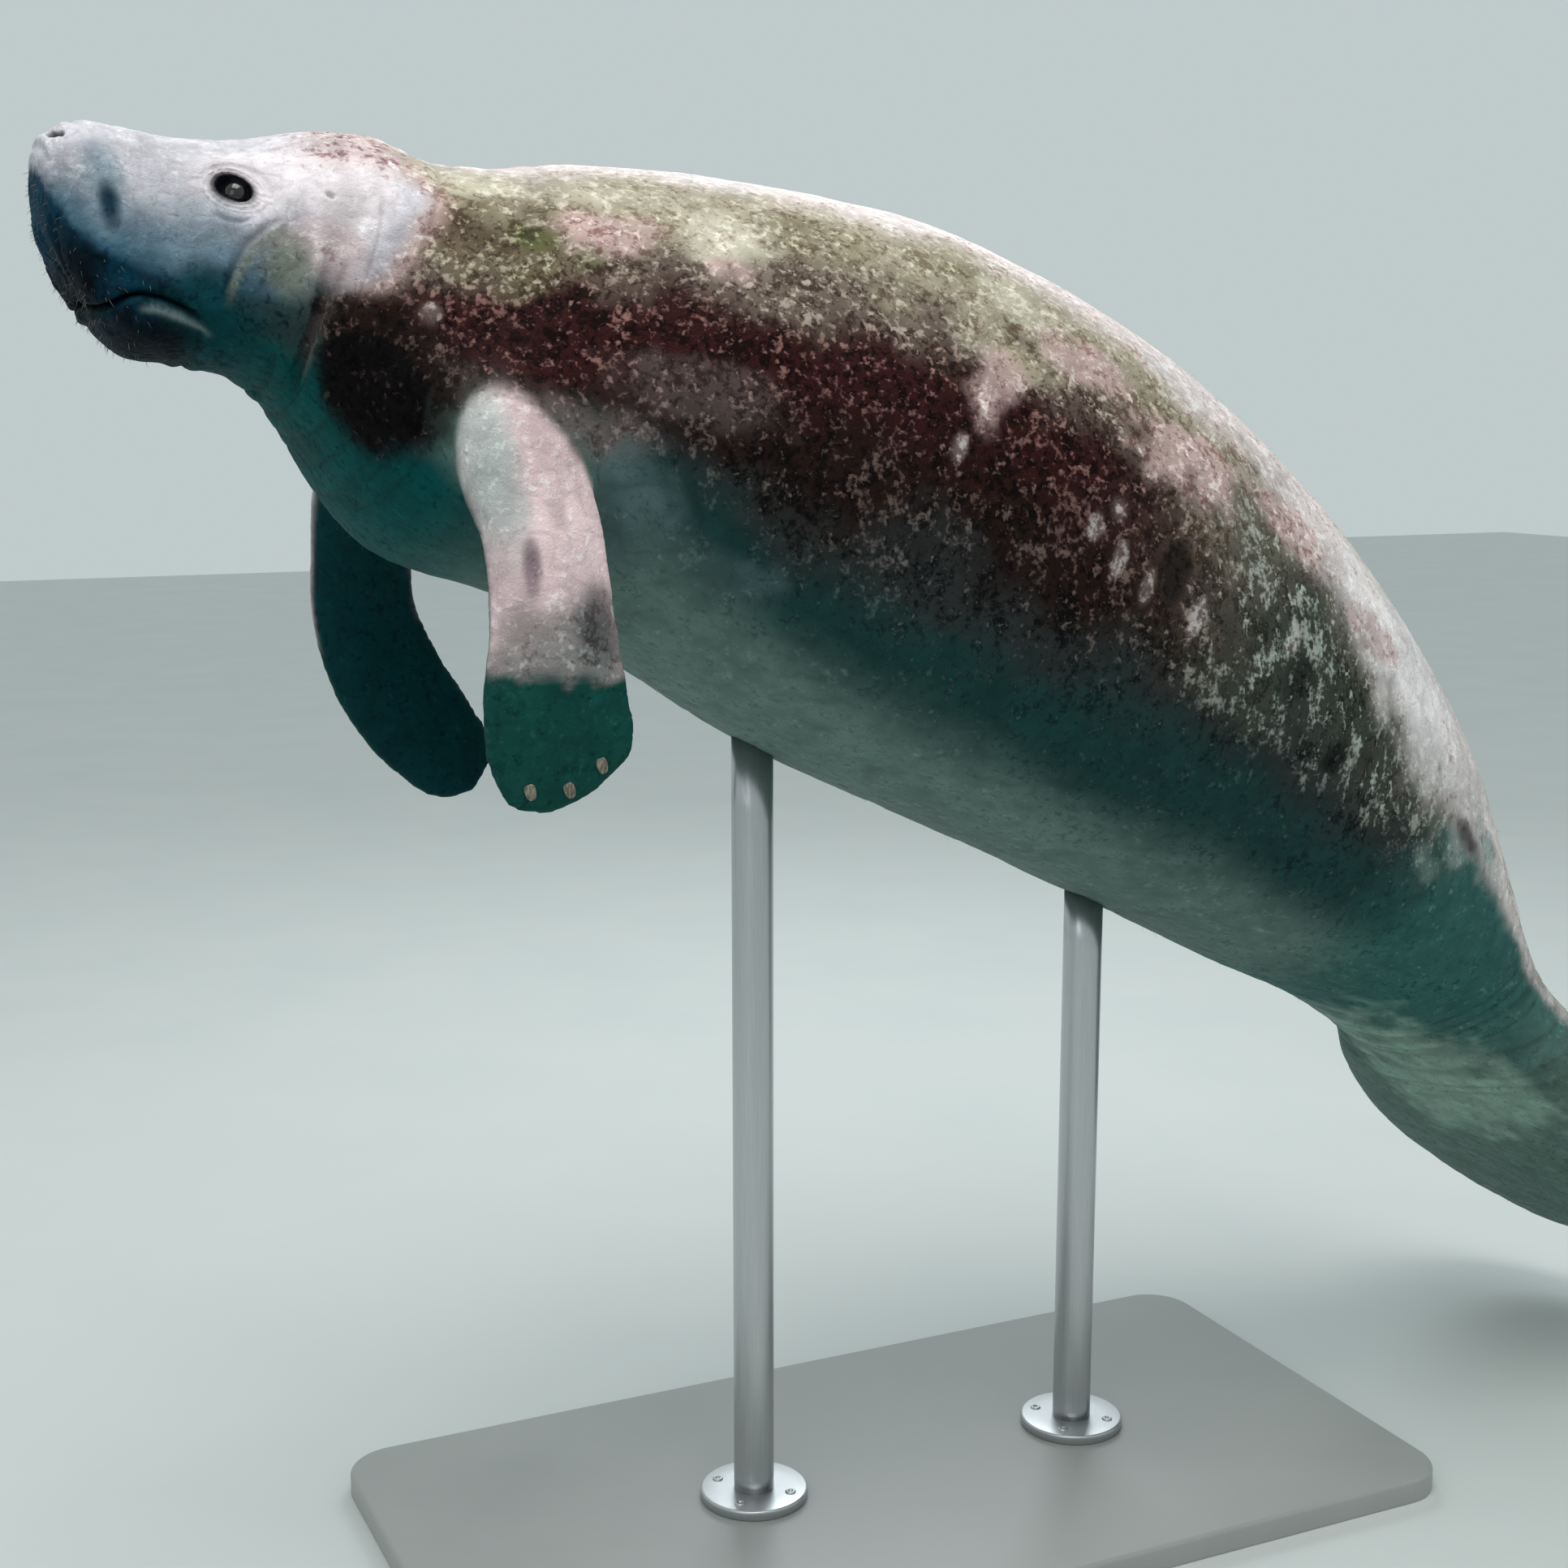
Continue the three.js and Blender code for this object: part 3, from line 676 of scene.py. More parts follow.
# Lines on the skin, down each side. Each has its path, as distances behind the snout's tip and
# degrees down, how wide and deep its groove is, how high and how wide the lips beside it are,
# and the share of its length over which it rises at its start and fades at its end.
lines = {
    "mouth": (
        ((48, 180), (52, 158), (66, 136), (84, 122), (104, 117), (128, 118), (156, 125)),
        3.6, 9, 3.2, 9, 0, 0.12,
    ),
    "nostril": (((34, 12), (24, 19), (20, 28), (24, 37), (33, 42)), 2.2, 5.5, 1.8, 6, 0.16, 0.16),
    "cheek": (((227, 74), (208, 80), (188, 89), (176, 101), (170, 116)), 3.6, 3, 1.8, 7, 0.25, 0.25),
    "ear": (((254.4, 63.5), (256, 64), (257.6, 64.5)), 2.4, 3.4, 0.7, 4, 0, 0),
    "diskRim": (((6, 74), (16, 90), (34, 101), (54, 103), (72, 106), (84, 112)), 8, -2.6, 0, 9, 0.2, 0.3),
    "neckFold": (
        ((258, 78), (264, 92), (266, 110), (268, 128), (274, 146), (280, 164)),
        5, 4.5, 2.5, 12, 0.3, 0.35,
    ),
    "secondFold": (((226, 128), (232, 140), (236, 156), (238, 180)), 4, 3, 1.5, 9, 0.35, 0),
    "chinFold": (((150, 124), (152, 140), (150, 160), (148, 180)), 4, 3, 1.6, 8, 0.35, 0),
    "napeFold": (((300, 0), (302, 20), (306, 40), (310, 58)), 6, 1, 0.6, 12, 0, 0.5),
    "upperLid": (((158, 55), (170, 50), (186, 47), (202, 50), (212, 58)), 2.2, 1.8, 0.9, 5, 0.3, 0.3),
    "lowerLid": (((160, 74), (174, 78), (190, 78), (204, 74)), 2, 1.6, 0.8, 5, 0.3, 0.3),
    "muzzleCrease": (((40, 52), (52, 62), (62, 74), (66, 86)), 6, 1.3, 0.6, 9, 0.4, 0.3),
    "padCleft": (((4, 180), (10, 180), (24, 180), (47, 180)), 5.5, 2.8, 1.4, 10, 0.25, 0),
    "padFold": (((7, 92), (14, 118), (28, 138), (46, 150)), 4.5, 2.6, 1.6, 10, 0.35, 0.2),
    "padBrow": (((8, 0), (9, 30), (12, 58), (17, 82)), 4, 1.6, 1.2, 8, 0, 0.4),
    "noseFold": (((44, 0), (46, 14), (50, 28), (58, 44)), 4.5, 1.7, 0.9, 8, 0, 0.5),
    "chinCrease": (((62, 180), (62, 166), (68, 154), (82, 146)), 4, 1.5, 1, 8, 0, 0.5),
    "bridgeFold": (((104, 8), (108, 24), (114, 40), (124, 54)), 4, 1.6, 0.8, 8, 0.3, 0.4),
}
fineReach = {"mouth": 15, "nostril": 14, "cheek": 9, "ear": 8}  # mm of finer mesh beside a line

# Painted highlights along the lower lip, the cheek's fold and the neck's fold: path and width.
highlightLines = {
    "lipHighlight": (((92, 126), (108, 123), (126, 124), (148, 129), (168, 136)), 3.4),
    "cheekHighlight": (((232, 76), (214, 82), (194, 91), (182, 103), (176, 118)), 5),
    "neckFoldHighlight": (((278, 84), (276, 94), (273, 104), (269, 116), (273, 130), (280, 142)), 6.5),
}
highlightEnds = (0.2, 0.75)  # where a pale line is full, and where it starts to fade
lineMaking = {"steps": 90, "reach": 45, "fullShadeDepth": 5}


def pathPoints(path, side):
    path = np.array(path, float)
    knots = np.linspace(0, 1, len(path))
    t = np.linspace(0, 1, lineMaking["steps"])
    past, down = smoothCurve(knots, path[:, 0])(t), smoothCurve(knots, path[:, 1])(t)
    return skinPoint(past, np.radians(90 - side * down))


def pathDistance(points, path, side):  # how far from a line each point is, and where along it
    curve = pathPoints(path, side)
    low, high = curve.min(0) - lineMaking["reach"], curve.max(0) + lineMaking["reach"]
    close = np.flatnonzero(((points > low) & (points < high)).all(1))
    far = np.full(len(points), 1e3)
    place = np.zeros(len(points))
    if len(close):
        gaps = np.linalg.norm(points[close, None] - curve[None], axis=2)
        best = gaps.argmin(1)
        far[close] = gaps[np.arange(len(close)), best]
        place[close] = best / (len(curve) - 1)
    return far, place


cornerKeys = np.array([73856093, 19349663, 83492791])  # primes that spread the cells over the table


def softNoise(points, size, seed):  # smooth random values from -1 to 1, with cells of one size
    table = np.random.default_rng(seed).uniform(-1, 1, 4096)
    cells = points / size
    base = np.floor(cells).astype(np.int64)
    part = cells - base
    part = part * part * (3 - 2 * part)
    total = np.zeros(len(cells))
    for corner in product((0, 1), repeat=3):
        key = (base + corner) @ cornerKeys
        share = np.where(corner, part, 1 - part).prod(1)
        total += share * table[(key ^ (key >> 12)) % len(table)]
    return total


netWarp = {"cell": 2.3, "way": np.array([0.5, -0.4, 0.3])}


def creaseNet(points, size, seed, sharp):  # 1 along a net of wandering lines
    warp = softNoise(points, netWarp["cell"] * size, seed + 1)[:, None] * netWarp["way"] * size
    return np.exp(-((softNoise(points + warp, size, seed) / sharp) ** 2))


# The lids. Places are ratios to the size of the opening, and heights are in mm.
lids = {
    "reach": 55, "clear": 0.5, "deepest": -6, "pocket": 3.4, "pocketEdge": (0.88, 1.0),
    "edge": 0.35, "swell": 0.6, "swellAt": (1.0, 1.3), "closed": (1.02, 1.55),
    "ridgeAt": 1.42, "ridgeWide": 0.3, "ridgeTilt": 0.3,
    "folds": 0.8, "foldsAt": 2.15, "foldsWide": 0.55, "foldStep": 0.52,
    "pleats": 0.35, "pleatCount": 17, "pleatsIn": (1.2, 1.7), "pleatsOut": (2.2, 3.2),
    "darkTurn": 0.6, "darkTilt": 0.25, "dark": (1.35, 2.3),
}


def sculptEye(points, side, marks):
    # The lids close round the eyeball, and a pocket behind them holds it.
    at = eyeFrame(side)
    offset = points - at.point
    near = np.linalg.norm(offset, axis=1) < lids["reach"]
    u, v, w = (offset[near] @ axis for axis in (at.back, at.down, at.out))
    q = np.sqrt((u / eye["long"]) ** 2 + (v / eye["tall"]) ** 2)
    angle = np.arctan2(v / eye["tall"], u / eye["long"])
    span = np.sqrt(np.maximum((eye["radius"] + lids["clear"]) ** 2 - u * u - v * v, 0))
    margin = np.maximum(span - eye["depth"], lids["deepest"])
    ridge = np.exp(-(((q - lids["ridgeAt"]) / lids["ridgeWide"]) ** 2))
    ridge *= eye["lidRise"] * (1 + lids["ridgeTilt"] * np.sin(-angle))
    folds = lids["folds"] * np.exp(-(((q - lids["foldsAt"]) / lids["foldsWide"]) ** 2))
    folds *= np.cos(2 * math.pi * (q - lids["ridgeAt"]) / lids["foldStep"])
    pleats = lids["pleats"] * np.sin(angle * lids["pleatCount"] + 2 * np.sin(3 * angle))
    pleats *= ramp(q, *lids["pleatsIn"]) * (1 - ramp(q, *lids["pleatsOut"]))
    lid = margin + lids["edge"] + ramp(q, *lids["swellAt"]) * lids["swell"]
    free = w + ridge + folds + pleats
    close = ramp(q, *lids["closed"])
    target = lid * (1 - close) + free * close
    inside = 1 - ramp(q, *lids["pocketEdge"])
    target = target * (1 - inside) + (margin - lids["pocket"]) * inside
    points[near] += (target - w)[:, None] * at.out
    dark = np.zeros(len(points))
    dark[near] = 1 - ramp(q + lids["darkTilt"] * np.cos(angle - lids["darkTurn"]), *lids["dark"])
    marks["lid"] = np.maximum(marks["lid"], dark)


def sculptLines(points, normals, marks):
    for name, (path, wide, deep, lip, lipWide, rise, fall) in lines.items():
        for side in (-1, 1):
            far, place = pathDistance(points, path, side)
            fade = np.ones(len(points))
            if rise:
                fade = fade * ramp(place, 0, rise)
            if fall:
                fade = fade * (1 - ramp(place, 1 - fall, 1))
            groove = np.exp(-((far / wide) ** 2))
            lips = np.exp(-(((far - 1.5 * wide - 0.4 * lipWide) / lipWide) ** 2))
            lift = fade * (lip * lips - deep * groove)
            points += normals * lift[:, None]
            # Grooves get painted shade, darker the deeper they are.
            if deep > 0:
                dark = fade * groove * min(1, deep / lineMaking["fullShadeDepth"])
                marks["crease"] = np.maximum(marks["crease"], dark)
            # Kept for the painted shade in these grooves.
            if name in ("mouth", "nostril"):
                marks[name] = np.maximum(marks[name], fade * groove)


def bodyRipple(spot):  # a place on the body as lengths along and around it, for stretched patterns
    around = 0.5 * (spine["half"](spot.along) + spine["side"](spot.along))
    return np.stack([spot.along, around * np.cos(spot.turn), around * np.sin(spot.turn)], 1)


# Lumps of the hide: size, height and the seed of each layer, in mm.
relief = ((130, 2.2, 20), (48, 0.9, 21), (15, 0.42, 22), (7, 0.22, 23))

# Nets of wrinkles: how the pattern is drawn out, its cell, its seed, how sharp its lines are,
# and their depth in mm and the darkness of the painted shade in their lines. Those of the trunk run round
# the body.
wrinkles = {
    "neck": ((17, 150, 150), 1, 41, 0.22, 1.6, 0.5),
    "stock": ((17, 150, 150), 1, 41, 0.22, 1.5, 0.5),
    "flank": ((60, 260, 260), 1, 43, 0.12, 1.1, 0),
    "hide": ((1, 1, 1), 21, 47, 0.12, 0.55, 0.22),
    "face": ((1, 1, 1), 10, 49, 0.14, 0.55, 0.26),
    "pads": ((1, 1.7, 0.8), 9, 57, 0.2, 0.85, 0.45),
    "limb": ((2.2, 2.2, 0.7), 26, 53, 0.16, 0.3, 0.09),
}
wrinkleZones = {
    "neck": (235, 275, 400, 470), "stock": (1900, 1990, 2160, 2260), "flank": (480, 700, 1750, 1950),
    "flankDown": (60, 110), "face": (300, 380), "pads": (46, 64), "padsDown": (46, 80),
}
calmShare = 0.75  # how much smoother the hide is round the eyes
calmReach = (14, 34)


def between(value, rise, full, fade, end):
    return ramp(value, rise, full) * (1 - ramp(value, fade, end))


def sculptRelief(points, normals, spot, marks):
    # Folds across the neck and tail stock, a net of fine wrinkles and a pebbly grain, with painted shade in
    # the wrinkles' lines.
    along, down = spot.along, spot.down
    ripple = bodyRipple(spot)
    lift = np.zeros(len(points))
    body = 1 - spot.flipper
    calm = 1 - calmShare * marks["calm"]
    for size, rise, seed in relief:
        lift += rise * calm * softNoise(points, size, seed)
    trunk = {name: between(along, *wrinkleZones[name]) * body for name in ("neck", "stock", "flank")}
    where = {
        "neck": trunk["neck"],
        "stock": trunk["stock"],
        "flank": trunk["flank"] * ramp(down, *wrinkleZones["flankDown"]),
        "hide": np.ones(len(points)),
        "face": 1 - ramp(along, *wrinkleZones["face"]),
        "pads": (1 - ramp(along, *wrinkleZones["pads"])) * ramp(down, *wrinkleZones["padsDown"]),
        "limb": spot.flipper,
    }
    for name, (drawn, cell, seed, sharp, deep, dark) in wrinkles.items():
        place = ripple if name in trunk else points
        net = where[name] * creaseNet(place / np.array(drawn), cell, seed, sharp)
        lift -= deep * net * (calm if name in ("hide", "face") else 1)
        marks["crease"] = np.maximum(marks["crease"], dark * net)
    points += normals * lift[:, None]


limbPlaces = {"reach": 60, "near": 40, "steps": 240, "leaves": (4, 46)}


def flipperPlaces(points, solids):
    # For the skin of each flipper: how far it has left the body, how far down it is, which face.
    spot = SimpleNamespace(
        flipper=np.zeros(len(points)), reach=np.zeros(len(points)), outer=np.zeros(len(points)),
        chordAt=np.zeros(len(points)),
    )
    for name, side in sideOf.items():
        close = np.flatnonzero(distancesTo(points, solids[name], limbPlaces["reach"]) < limbPlaces["near"])
        toBody = distancesTo(points[close], solids["body"], skinMaking["farOff"])
        places = np.linspace(0, flipperLength(name), limbPlaces["steps"])
        frames = flipperFrames(name, places)
        gaps = np.linalg.norm(points[close, None] - frames.centre[None], axis=2)
        best = gaps.argmin(1)
        offset = points[close] - frames.centre[best]
        spot.flipper[close] = np.maximum(spot.flipper[close], ramp(toBody, *limbPlaces["leaves"]))
        spot.reach[close] = places[best]
        spot.chordAt[close] = (offset * frames.chordWay[best]).sum(1) / frames.chord[best, 0]
        outward = np.sign(frames.thickWay[best, 1]) * side
        spot.outer[close] = (offset * frames.thickWay[best]).sum(1) / frames.thick[best, 0] * outward
    return spot


# The hide's colours

# Each style has the hide's tone, the share and tone of its dark specks, the share and tone of its
# light ones, and how far its specks are drawn out into upright streaks. Some tones are painted shade or
# highlight, as noted beside them.
styles = {
    "back": ((164, 155, 134), 0.4, (122, 108, 88), 0.3, (200, 192, 174), 0.1),
    "olive": ((118, 106, 80), 0.45, (72, 60, 44), 0.26, (190, 182, 156), 0.0),
    "darkOlive": ((90, 74, 58), 0.45, (58, 44, 36), 0.25, (158, 144, 120), 0.0),
    "green": ((92, 96, 56), 0.35, (62, 66, 38), 0.2, (176, 172, 140), 0.0),
    "cream": ((198, 192, 172), 0.2, (156, 144, 126), 0.3, (226, 220, 206), 0.0),
    "blush": ((196, 168, 164), 0.3, (146, 110, 108), 0.3, (228, 210, 206), 0.0),
    # The pale top: partly the hide's own pale tone, partly a painted highlight where light from above
    # falls.
    "rim": ((226, 211, 208), 0.18, (178, 146, 140), 0.35, (246, 240, 240), 0.0),
    # A brighter painted highlight along the top of the rear.
    "rimHighlight": ((244, 236, 235), 0.12, (204, 182, 178), 0.3, (252, 249, 249), 0.0),
    "brown": ((112, 98, 88), 0.5, (64, 48, 42), 0.26, (174, 160, 146), 0.0),
    "maroon": ((50, 20, 19), 0.5, (19, 4, 4), 0.2, (136, 98, 92), 0.1),
    "umber": ((34, 20, 17), 0.5, (9, 5, 5), 0.24, (104, 84, 78), 0.5),
    "charcoal": ((46, 50, 50), 0.45, (12, 14, 14), 0.2, (100, 98, 96), 0.6),
    "rose": ((112, 100, 98), 0.3, (72, 58, 56), 0.25, (160, 144, 140), 0.2),
    # Painted shade low on the flank: dark teal, with the hide's specks.
    "tealShade": ((25, 61, 59), 0.3, (11, 38, 38), 0.1, (62, 90, 86), 0.8),
    # The underside: the hide's grey, with painted shade tinted green in its tone.
    "belly": ((98, 121, 114), 0.2, (72, 96, 90), 0.15, (122, 142, 134), 0.6),
    "mist": ((86, 106, 108), 0.12, (62, 84, 86), 0.1, (112, 128, 130), 0.3),
    "lichen": ((56, 62, 56), 0.5, (20, 24, 21), 0.34, (168, 176, 166), 0.9),
    # Painted shade, teal, under the tail stock.
    "tail": ((52, 99, 94), 0.25, (30, 74, 70), 0.1, (92, 130, 122), 0.5),
    # The paddle: the hide's grey, with the painted green-tinted shade of its underside.
    "paddle": ((96, 120, 112), 0.25, (76, 100, 93), 0.12, (116, 140, 130), 0.3),
    # Painted light on the paddle's underside, as if bounced up from below.
    "paddleLitFromBelow": ((142, 172, 158), 0.2, (110, 140, 128), 0.12, (160, 186, 172), 0.3),
    "tailLight": ((142, 160, 154), 0.25, (92, 114, 110), 0.3, (186, 200, 194), 0.8),
    "white": ((158, 136, 130), 0.1, (110, 84, 80), 0.85, (242, 236, 232), 0.3),
    "ink": ((14, 18, 18), 0.4, (4, 6, 6), 0.0, (60, 60, 58), 0.4),
    # Painted shade, teal, under the head and neck.
    "throatShade": ((0, 74, 74), 0.25, (0, 52, 56), 0.06, (20, 92, 88), 0.4),
    # The dark blot before the shoulder: part dark algae, part painted shade.
    "shadeAndAlgaePatch": ((12, 8, 10), 0.5, (3, 1, 3), 0.05, (80, 66, 62), 0.0),
    "face": ((208, 205, 211), 0.05, (184, 170, 178), 0.14, (228, 224, 228), 0.0),
    # Painted highlights high on the face and neck.
    "pale": ((240, 229, 232), 0.05, (214, 192, 196), 0.15, (248, 243, 244), 0.0),
    # Painted shade on the sides of the face, where light from above falls less.
    "faceSideShade": ((186, 183, 190), 0.06, (164, 156, 164), 0.12, (204, 202, 208), 0.0),
    "facePink": ((208, 188, 190), 0.15, (176, 146, 150), 0.2, (230, 216, 216), 0.0),
    "crown": ((204, 184, 182), 0.42, (122, 74, 72), 0.3, (236, 224, 222), 0.0),
    # Painted shade on the lower face, darker and bluer towards the underside.
    "faceShade": ((82, 110, 126), 0.1, (64, 90, 106), 0.1, (100, 126, 140), 0.0),
    "faceLowShade": ((42, 79, 100), 0.15, (24, 58, 78), 0.08, (64, 98, 114), 0.0),
    "cheek": ((116, 122, 112), 0.2, (84, 90, 80), 0.15, (150, 152, 142), 0.0),
    # Painted shade low on the cheek and on the jaw.
    "cheekLowShade": ((42, 58, 58), 0.3, (16, 28, 30), 0.1, (74, 92, 90), 0.0),
    "jawShade": ((0, 58, 63), 0.25, (0, 38, 44), 0.05, (20, 80, 82), 0.0),
    # Painted shade on the muzzle's pad, and darker painted shade on its lower part and under the chin.
    "shadedDisk": ((7, 57, 78), 0.25, (3, 36, 52), 0.06, (34, 84, 100), 0.0),
    "diskLowShade": ((2, 18, 26), 0.3, (0, 8, 14), 0.05, (18, 44, 54), 0.0),
    # A painted highlight along the lower lip.
    "lip": ((124, 140, 140), 0.1, (96, 116, 118), 0.1, (146, 158, 156), 0.0),
    # Painted shade round and in the dent on the muzzle's side.
    "dentShade": ((132, 150, 162), 0.1, (104, 124, 138), 0.1, (170, 180, 190), 0.0),
    "dentShadow": ((18, 50, 66), 0.2, (8, 30, 44), 0.0, (40, 80, 96), 0.0),
    "lid": ((10, 12, 22), 0.3, (3, 4, 10), 0.0, (40, 44, 56), 0.0),
    "limb": ((214, 187, 189), 0.08, (186, 158, 162), 0.2, (230, 212, 213), 0.0),
    # A painted highlight on the middle of the flipper's outer face.
    "limbHighlight": ((234, 207, 209), 0.06, (206, 178, 182), 0.15, (242, 226, 226), 0.0),
    "limbEdge": ((176, 190, 186), 0.12, (146, 162, 158), 0.2, (204, 212, 208), 0.0),
    "bruise": ((124, 104, 112), 0.3, (92, 74, 84), 0.1, (160, 142, 148), 0.0),
    "ash": ((116, 120, 116), 0.35, (70, 76, 74), 0.25, (160, 160, 156), 0.2),
    "soot": ((70, 74, 74), 0.45, (34, 38, 38), 0.2, (130, 130, 130), 0.2),
    # Painted shade, teal, on the flipper's tip.
    "limbTipShade": ((18, 70, 64), 0.2, (8, 54, 50), 0.06, (44, 92, 84), 0.0),
    "limbShade": ((2, 50, 54), 0.2, (0, 34, 42), 0.04, (18, 74, 72), 0.0),
}

# Where the markings, the painted highlight along the top and the painted shade low down change, as a
# distance along the spine and degrees down from the top.
edges = {
    "rim": (
        (300, 18), (430, 27), (700, 31), (930, 32), (1030, 37), (1210, 48), (1410, 66),
        (1630, 80), (1820, 92), (2000, 98),
    ),
    "maroon": ((300, 94), (365, 80), (450, 71), (860, 70), (940, 65), (1070, 69), (1200, 74), (1400, 82)),
    "umber": ((300, 118), (500, 100), (620, 92), (900, 83), (1100, 84), (1300, 88)),
    "charcoal": (
        (385, 122), (440, 110), (500, 101), (560, 100), (620, 104), (700, 106), (1035, 100),
        (1280, 101), (1620, 96),
    ),
    "tealShade": ((400, 126), (500, 108), (600, 108), (700, 114), (1000, 113), (1300, 108), (1600, 104)),
    "belly": (
        (520, 108), (602, 121), (662, 128), (737, 133), (1188, 138), (1433, 135), (1784, 129), (2050, 122),
    ),
    "face": (  # by degrees down, as a distance along the spine
        (0, 284), (15, 270), (30, 300), (52, 322), (65, 318), (78, 314), (89, 305), (97, 280),
        (104, 262), (125, 264), (145, 285), (180, 300),
    ),
}

# Single marks: style, distance along the spine, degrees down, half length in mm, half width in
# degrees and strength. Those on the outer side of a flipper have the distance from the shoulder,
# the place across the chord from -1 to 1, half length in mm, half width and strength.
bodySpots = (
    ("olive", 372, 62, 80, 12, 0.8), ("darkOlive", 352, 63, 44, 8, 0.85),
    ("green", 420, 60, 24, 4, 0.9), ("green", 470, 64, 14, 3, 0.5), ("blush", 480, 55, 44, 7, 0.8),
    ("cream", 600, 52, 44, 9, 0.9), ("blush", 606, 62, 22, 3, 0.8), ("olive", 690, 45, 60, 7, 0.6),
    ("brown", 700, 62, 60, 7, 0.8), ("brown", 790, 58, 80, 8, 0.8), ("green", 850, 42, 50, 5, 0.55),
    ("back", 856, 53, 84, 9, 0.9), ("cream", 930, 44, 40, 6, 0.7), ("cream", 330, 34, 40, 10, 0.6),
    ("cream", 470, 38, 80, 6, 0.6), ("blush", 1010, 52, 50, 5, 0.8), ("white", 891, 72, 6, 5, 1.0),
    ("blush", 893, 70, 26, 7, 0.7), ("white", 1149, 60, 11, 3, 1.0), ("white", 1084, 66, 7, 2, 0.8),
    ("white", 1183, 63, 9, 2.2, 0.8), ("blush", 1140, 63, 60, 7, 0.8), ("white", 1069, 80, 9, 2, 0.5),
    ("white", 1049, 85, 7, 1.8, 0.45), ("white", 1089, 88, 6, 2, 0.4), ("white", 876, 83, 7, 2, 0.5),
    ("white", 360, 92, 8, 2.2, 0.5), ("white", 1208, 89, 7, 2.4, 0.4),
    ("white", 1134, 90, 6, 2.4, 0.35), ("white", 1343, 81, 9, 3, 0.5), ("ink", 1159, 85, 16, 4, 0.7),
    ("ink", 1483, 94, 14, 3, 0.8), ("ink", 1380, 88, 20, 4, 0.5), ("blush", 1463, 64, 42, 4.5, 0.8),
    ("blush", 1300, 58, 50, 4, 0.7), ("rose", 500, 104, 96, 6, 0.75), ("mist", 600, 114, 42, 9, 0.9),
    ("mist", 672, 127, 56, 8, 0.6), ("charcoal", 880, 101, 50, 6, 0.7), ("rose", 602, 91, 80, 5, 0.4),
    ("tailLight", 1734, 86, 44, 4, 0.7), ("tailLight", 1719, 95, 34, 4, 0.5),
    ("tailLight", 1812, 70, 44, 6, 0.8), ("ink", 1758, 79, 42, 3.4, 0.85),
    # A painted pool of light from below on the paddle's underside.
    ("paddleLitFromBelow", 2110, 167, 150, 21, 0.9),
)
# The first is a painted highlight. The rest are the flipper's own marks.
limbSpots = (
    ("limbHighlight", 186, 0.2, 56, 0.7, 0.8), ("limbEdge", 110, -0.75, 80, 0.34, 0.8),
    ("bruise", 214, -0.46, 22, 0.13, 0.85), ("ash", 276, 0.15, 28, 0.5, 0.75),
    ("soot", 268, 0.62, 36, 0.34, 0.85), ("ash", 276, -0.6, 26, 0.3, 0.6),
    ("ash", 300, 0.0, 14, 1.6, 0.6),
)
# Painted highlights above the eye and on the neck.
faceHighlights = (("pale", 270, 62, 30, 20, 0.95), ("pale", 200, 54, 46, 17, 0.75))
# Painted shade in the muzzle's dent, below the eye, low on the cheek, on the jaw and round the mouth, among
# the face's own pink and olive tones.
faceSpots = (
    ("facePink", 253, 84, 30, 9, 0.9), ("cheek", 226, 92, 20, 10, 0.9), ("cheek", 245, 100, 24, 9, 0.7),
    ("cheekLowShade", 214, 116, 34, 10, 0.95), ("cheekLowShade", 252, 118, 20, 12, 0.95),
    ("dentShade", 63, 72, 20, 20, 0.8), ("dentShadow", 69, 84, 10, 8.5, 1.0),
    ("dentShade", 158, 78, 26, 10, 0.35), ("dentShade", 150, 96, 30, 8, 0.35),
    ("diskLowShade", 100, 111, 34, 6, 0.8), ("diskLowShade", 130, 115, 22, 5, 0.6), ("jawShade", 157, 105, 26, 9, 0.9),
    ("cheekLowShade", 203, 98, 16, 7, 0.5), ("facePink", 276, 88, 22, 8, 0.7),
)
# The pad at the front of the muzzle, painted dark as shade: an arch over the width, falling back along the
# sides.
pad = {
    "top": 1550, "drop": 72, "half": 94, "bend": 2.2, "side": -902, "slope": 0.64,
    "soft": (-9, 13), "ends": (-862, -828), "low": 1496,
}
edgeGrain = ((90, 4.0, 61), (34, 3.0, 62), (15, 2.0, 63))  # cell size in mm, degrees, seed
topPatches = {"drift": (150, 91, 62, 92), "pale": (110, 93, 48, 94)}  # two cells and their seeds
blots = {"shadeAndAlgaePatch": (344, 74, 122, 21), "smoke": (340, 90, 108, 15)}  # middle and half size, each way

# Where each part of the coat starts and is full, in mm along the body or degrees down. Those of
# the flipper are shares, or mm from the shoulder, or heights.
zones = {
    "trunkEnd": (1000, 1400), "rearStart": (1110, 1360), "rearEnd": (1700, 1900),
    "rimHighlight": (1320, 1520), "rimDim": (1580, 1760), "topStart": (330, 620),
    "tail": (1630, 1830), "paddle": (1950, 2230), "paddleSide": (80, 100),
    "throatShade": (112, 134), "throatEnd": (440, 640), "blushEnd": (88, 100),
    "crown": (205, 262), "crownEnd": (36, 56), "jowl": (165, 225), "faceSideShade": (34, 64),
    "faceShade": (68, 98), "faceLowShade": (93, 109), "faceThroat": (105, 124),
    "jawShade": (108, 121), "jawStart": (66, 92), "jawEnd": (176, 240),
    "snout": (50, 84), "chin": (112, 138), "chinEnd": (128, 160), "padShade": (0, 54),
    "limb": (0.28, 0.74), "armpit": (1322, 1396), "limbTipShade": (298, 315), "outerFace": (-0.5, 0.25),
}
rimSofts = {"top": (62, 20), "brown": (24, 4)}  # degrees above an edge where a tone starts and is full


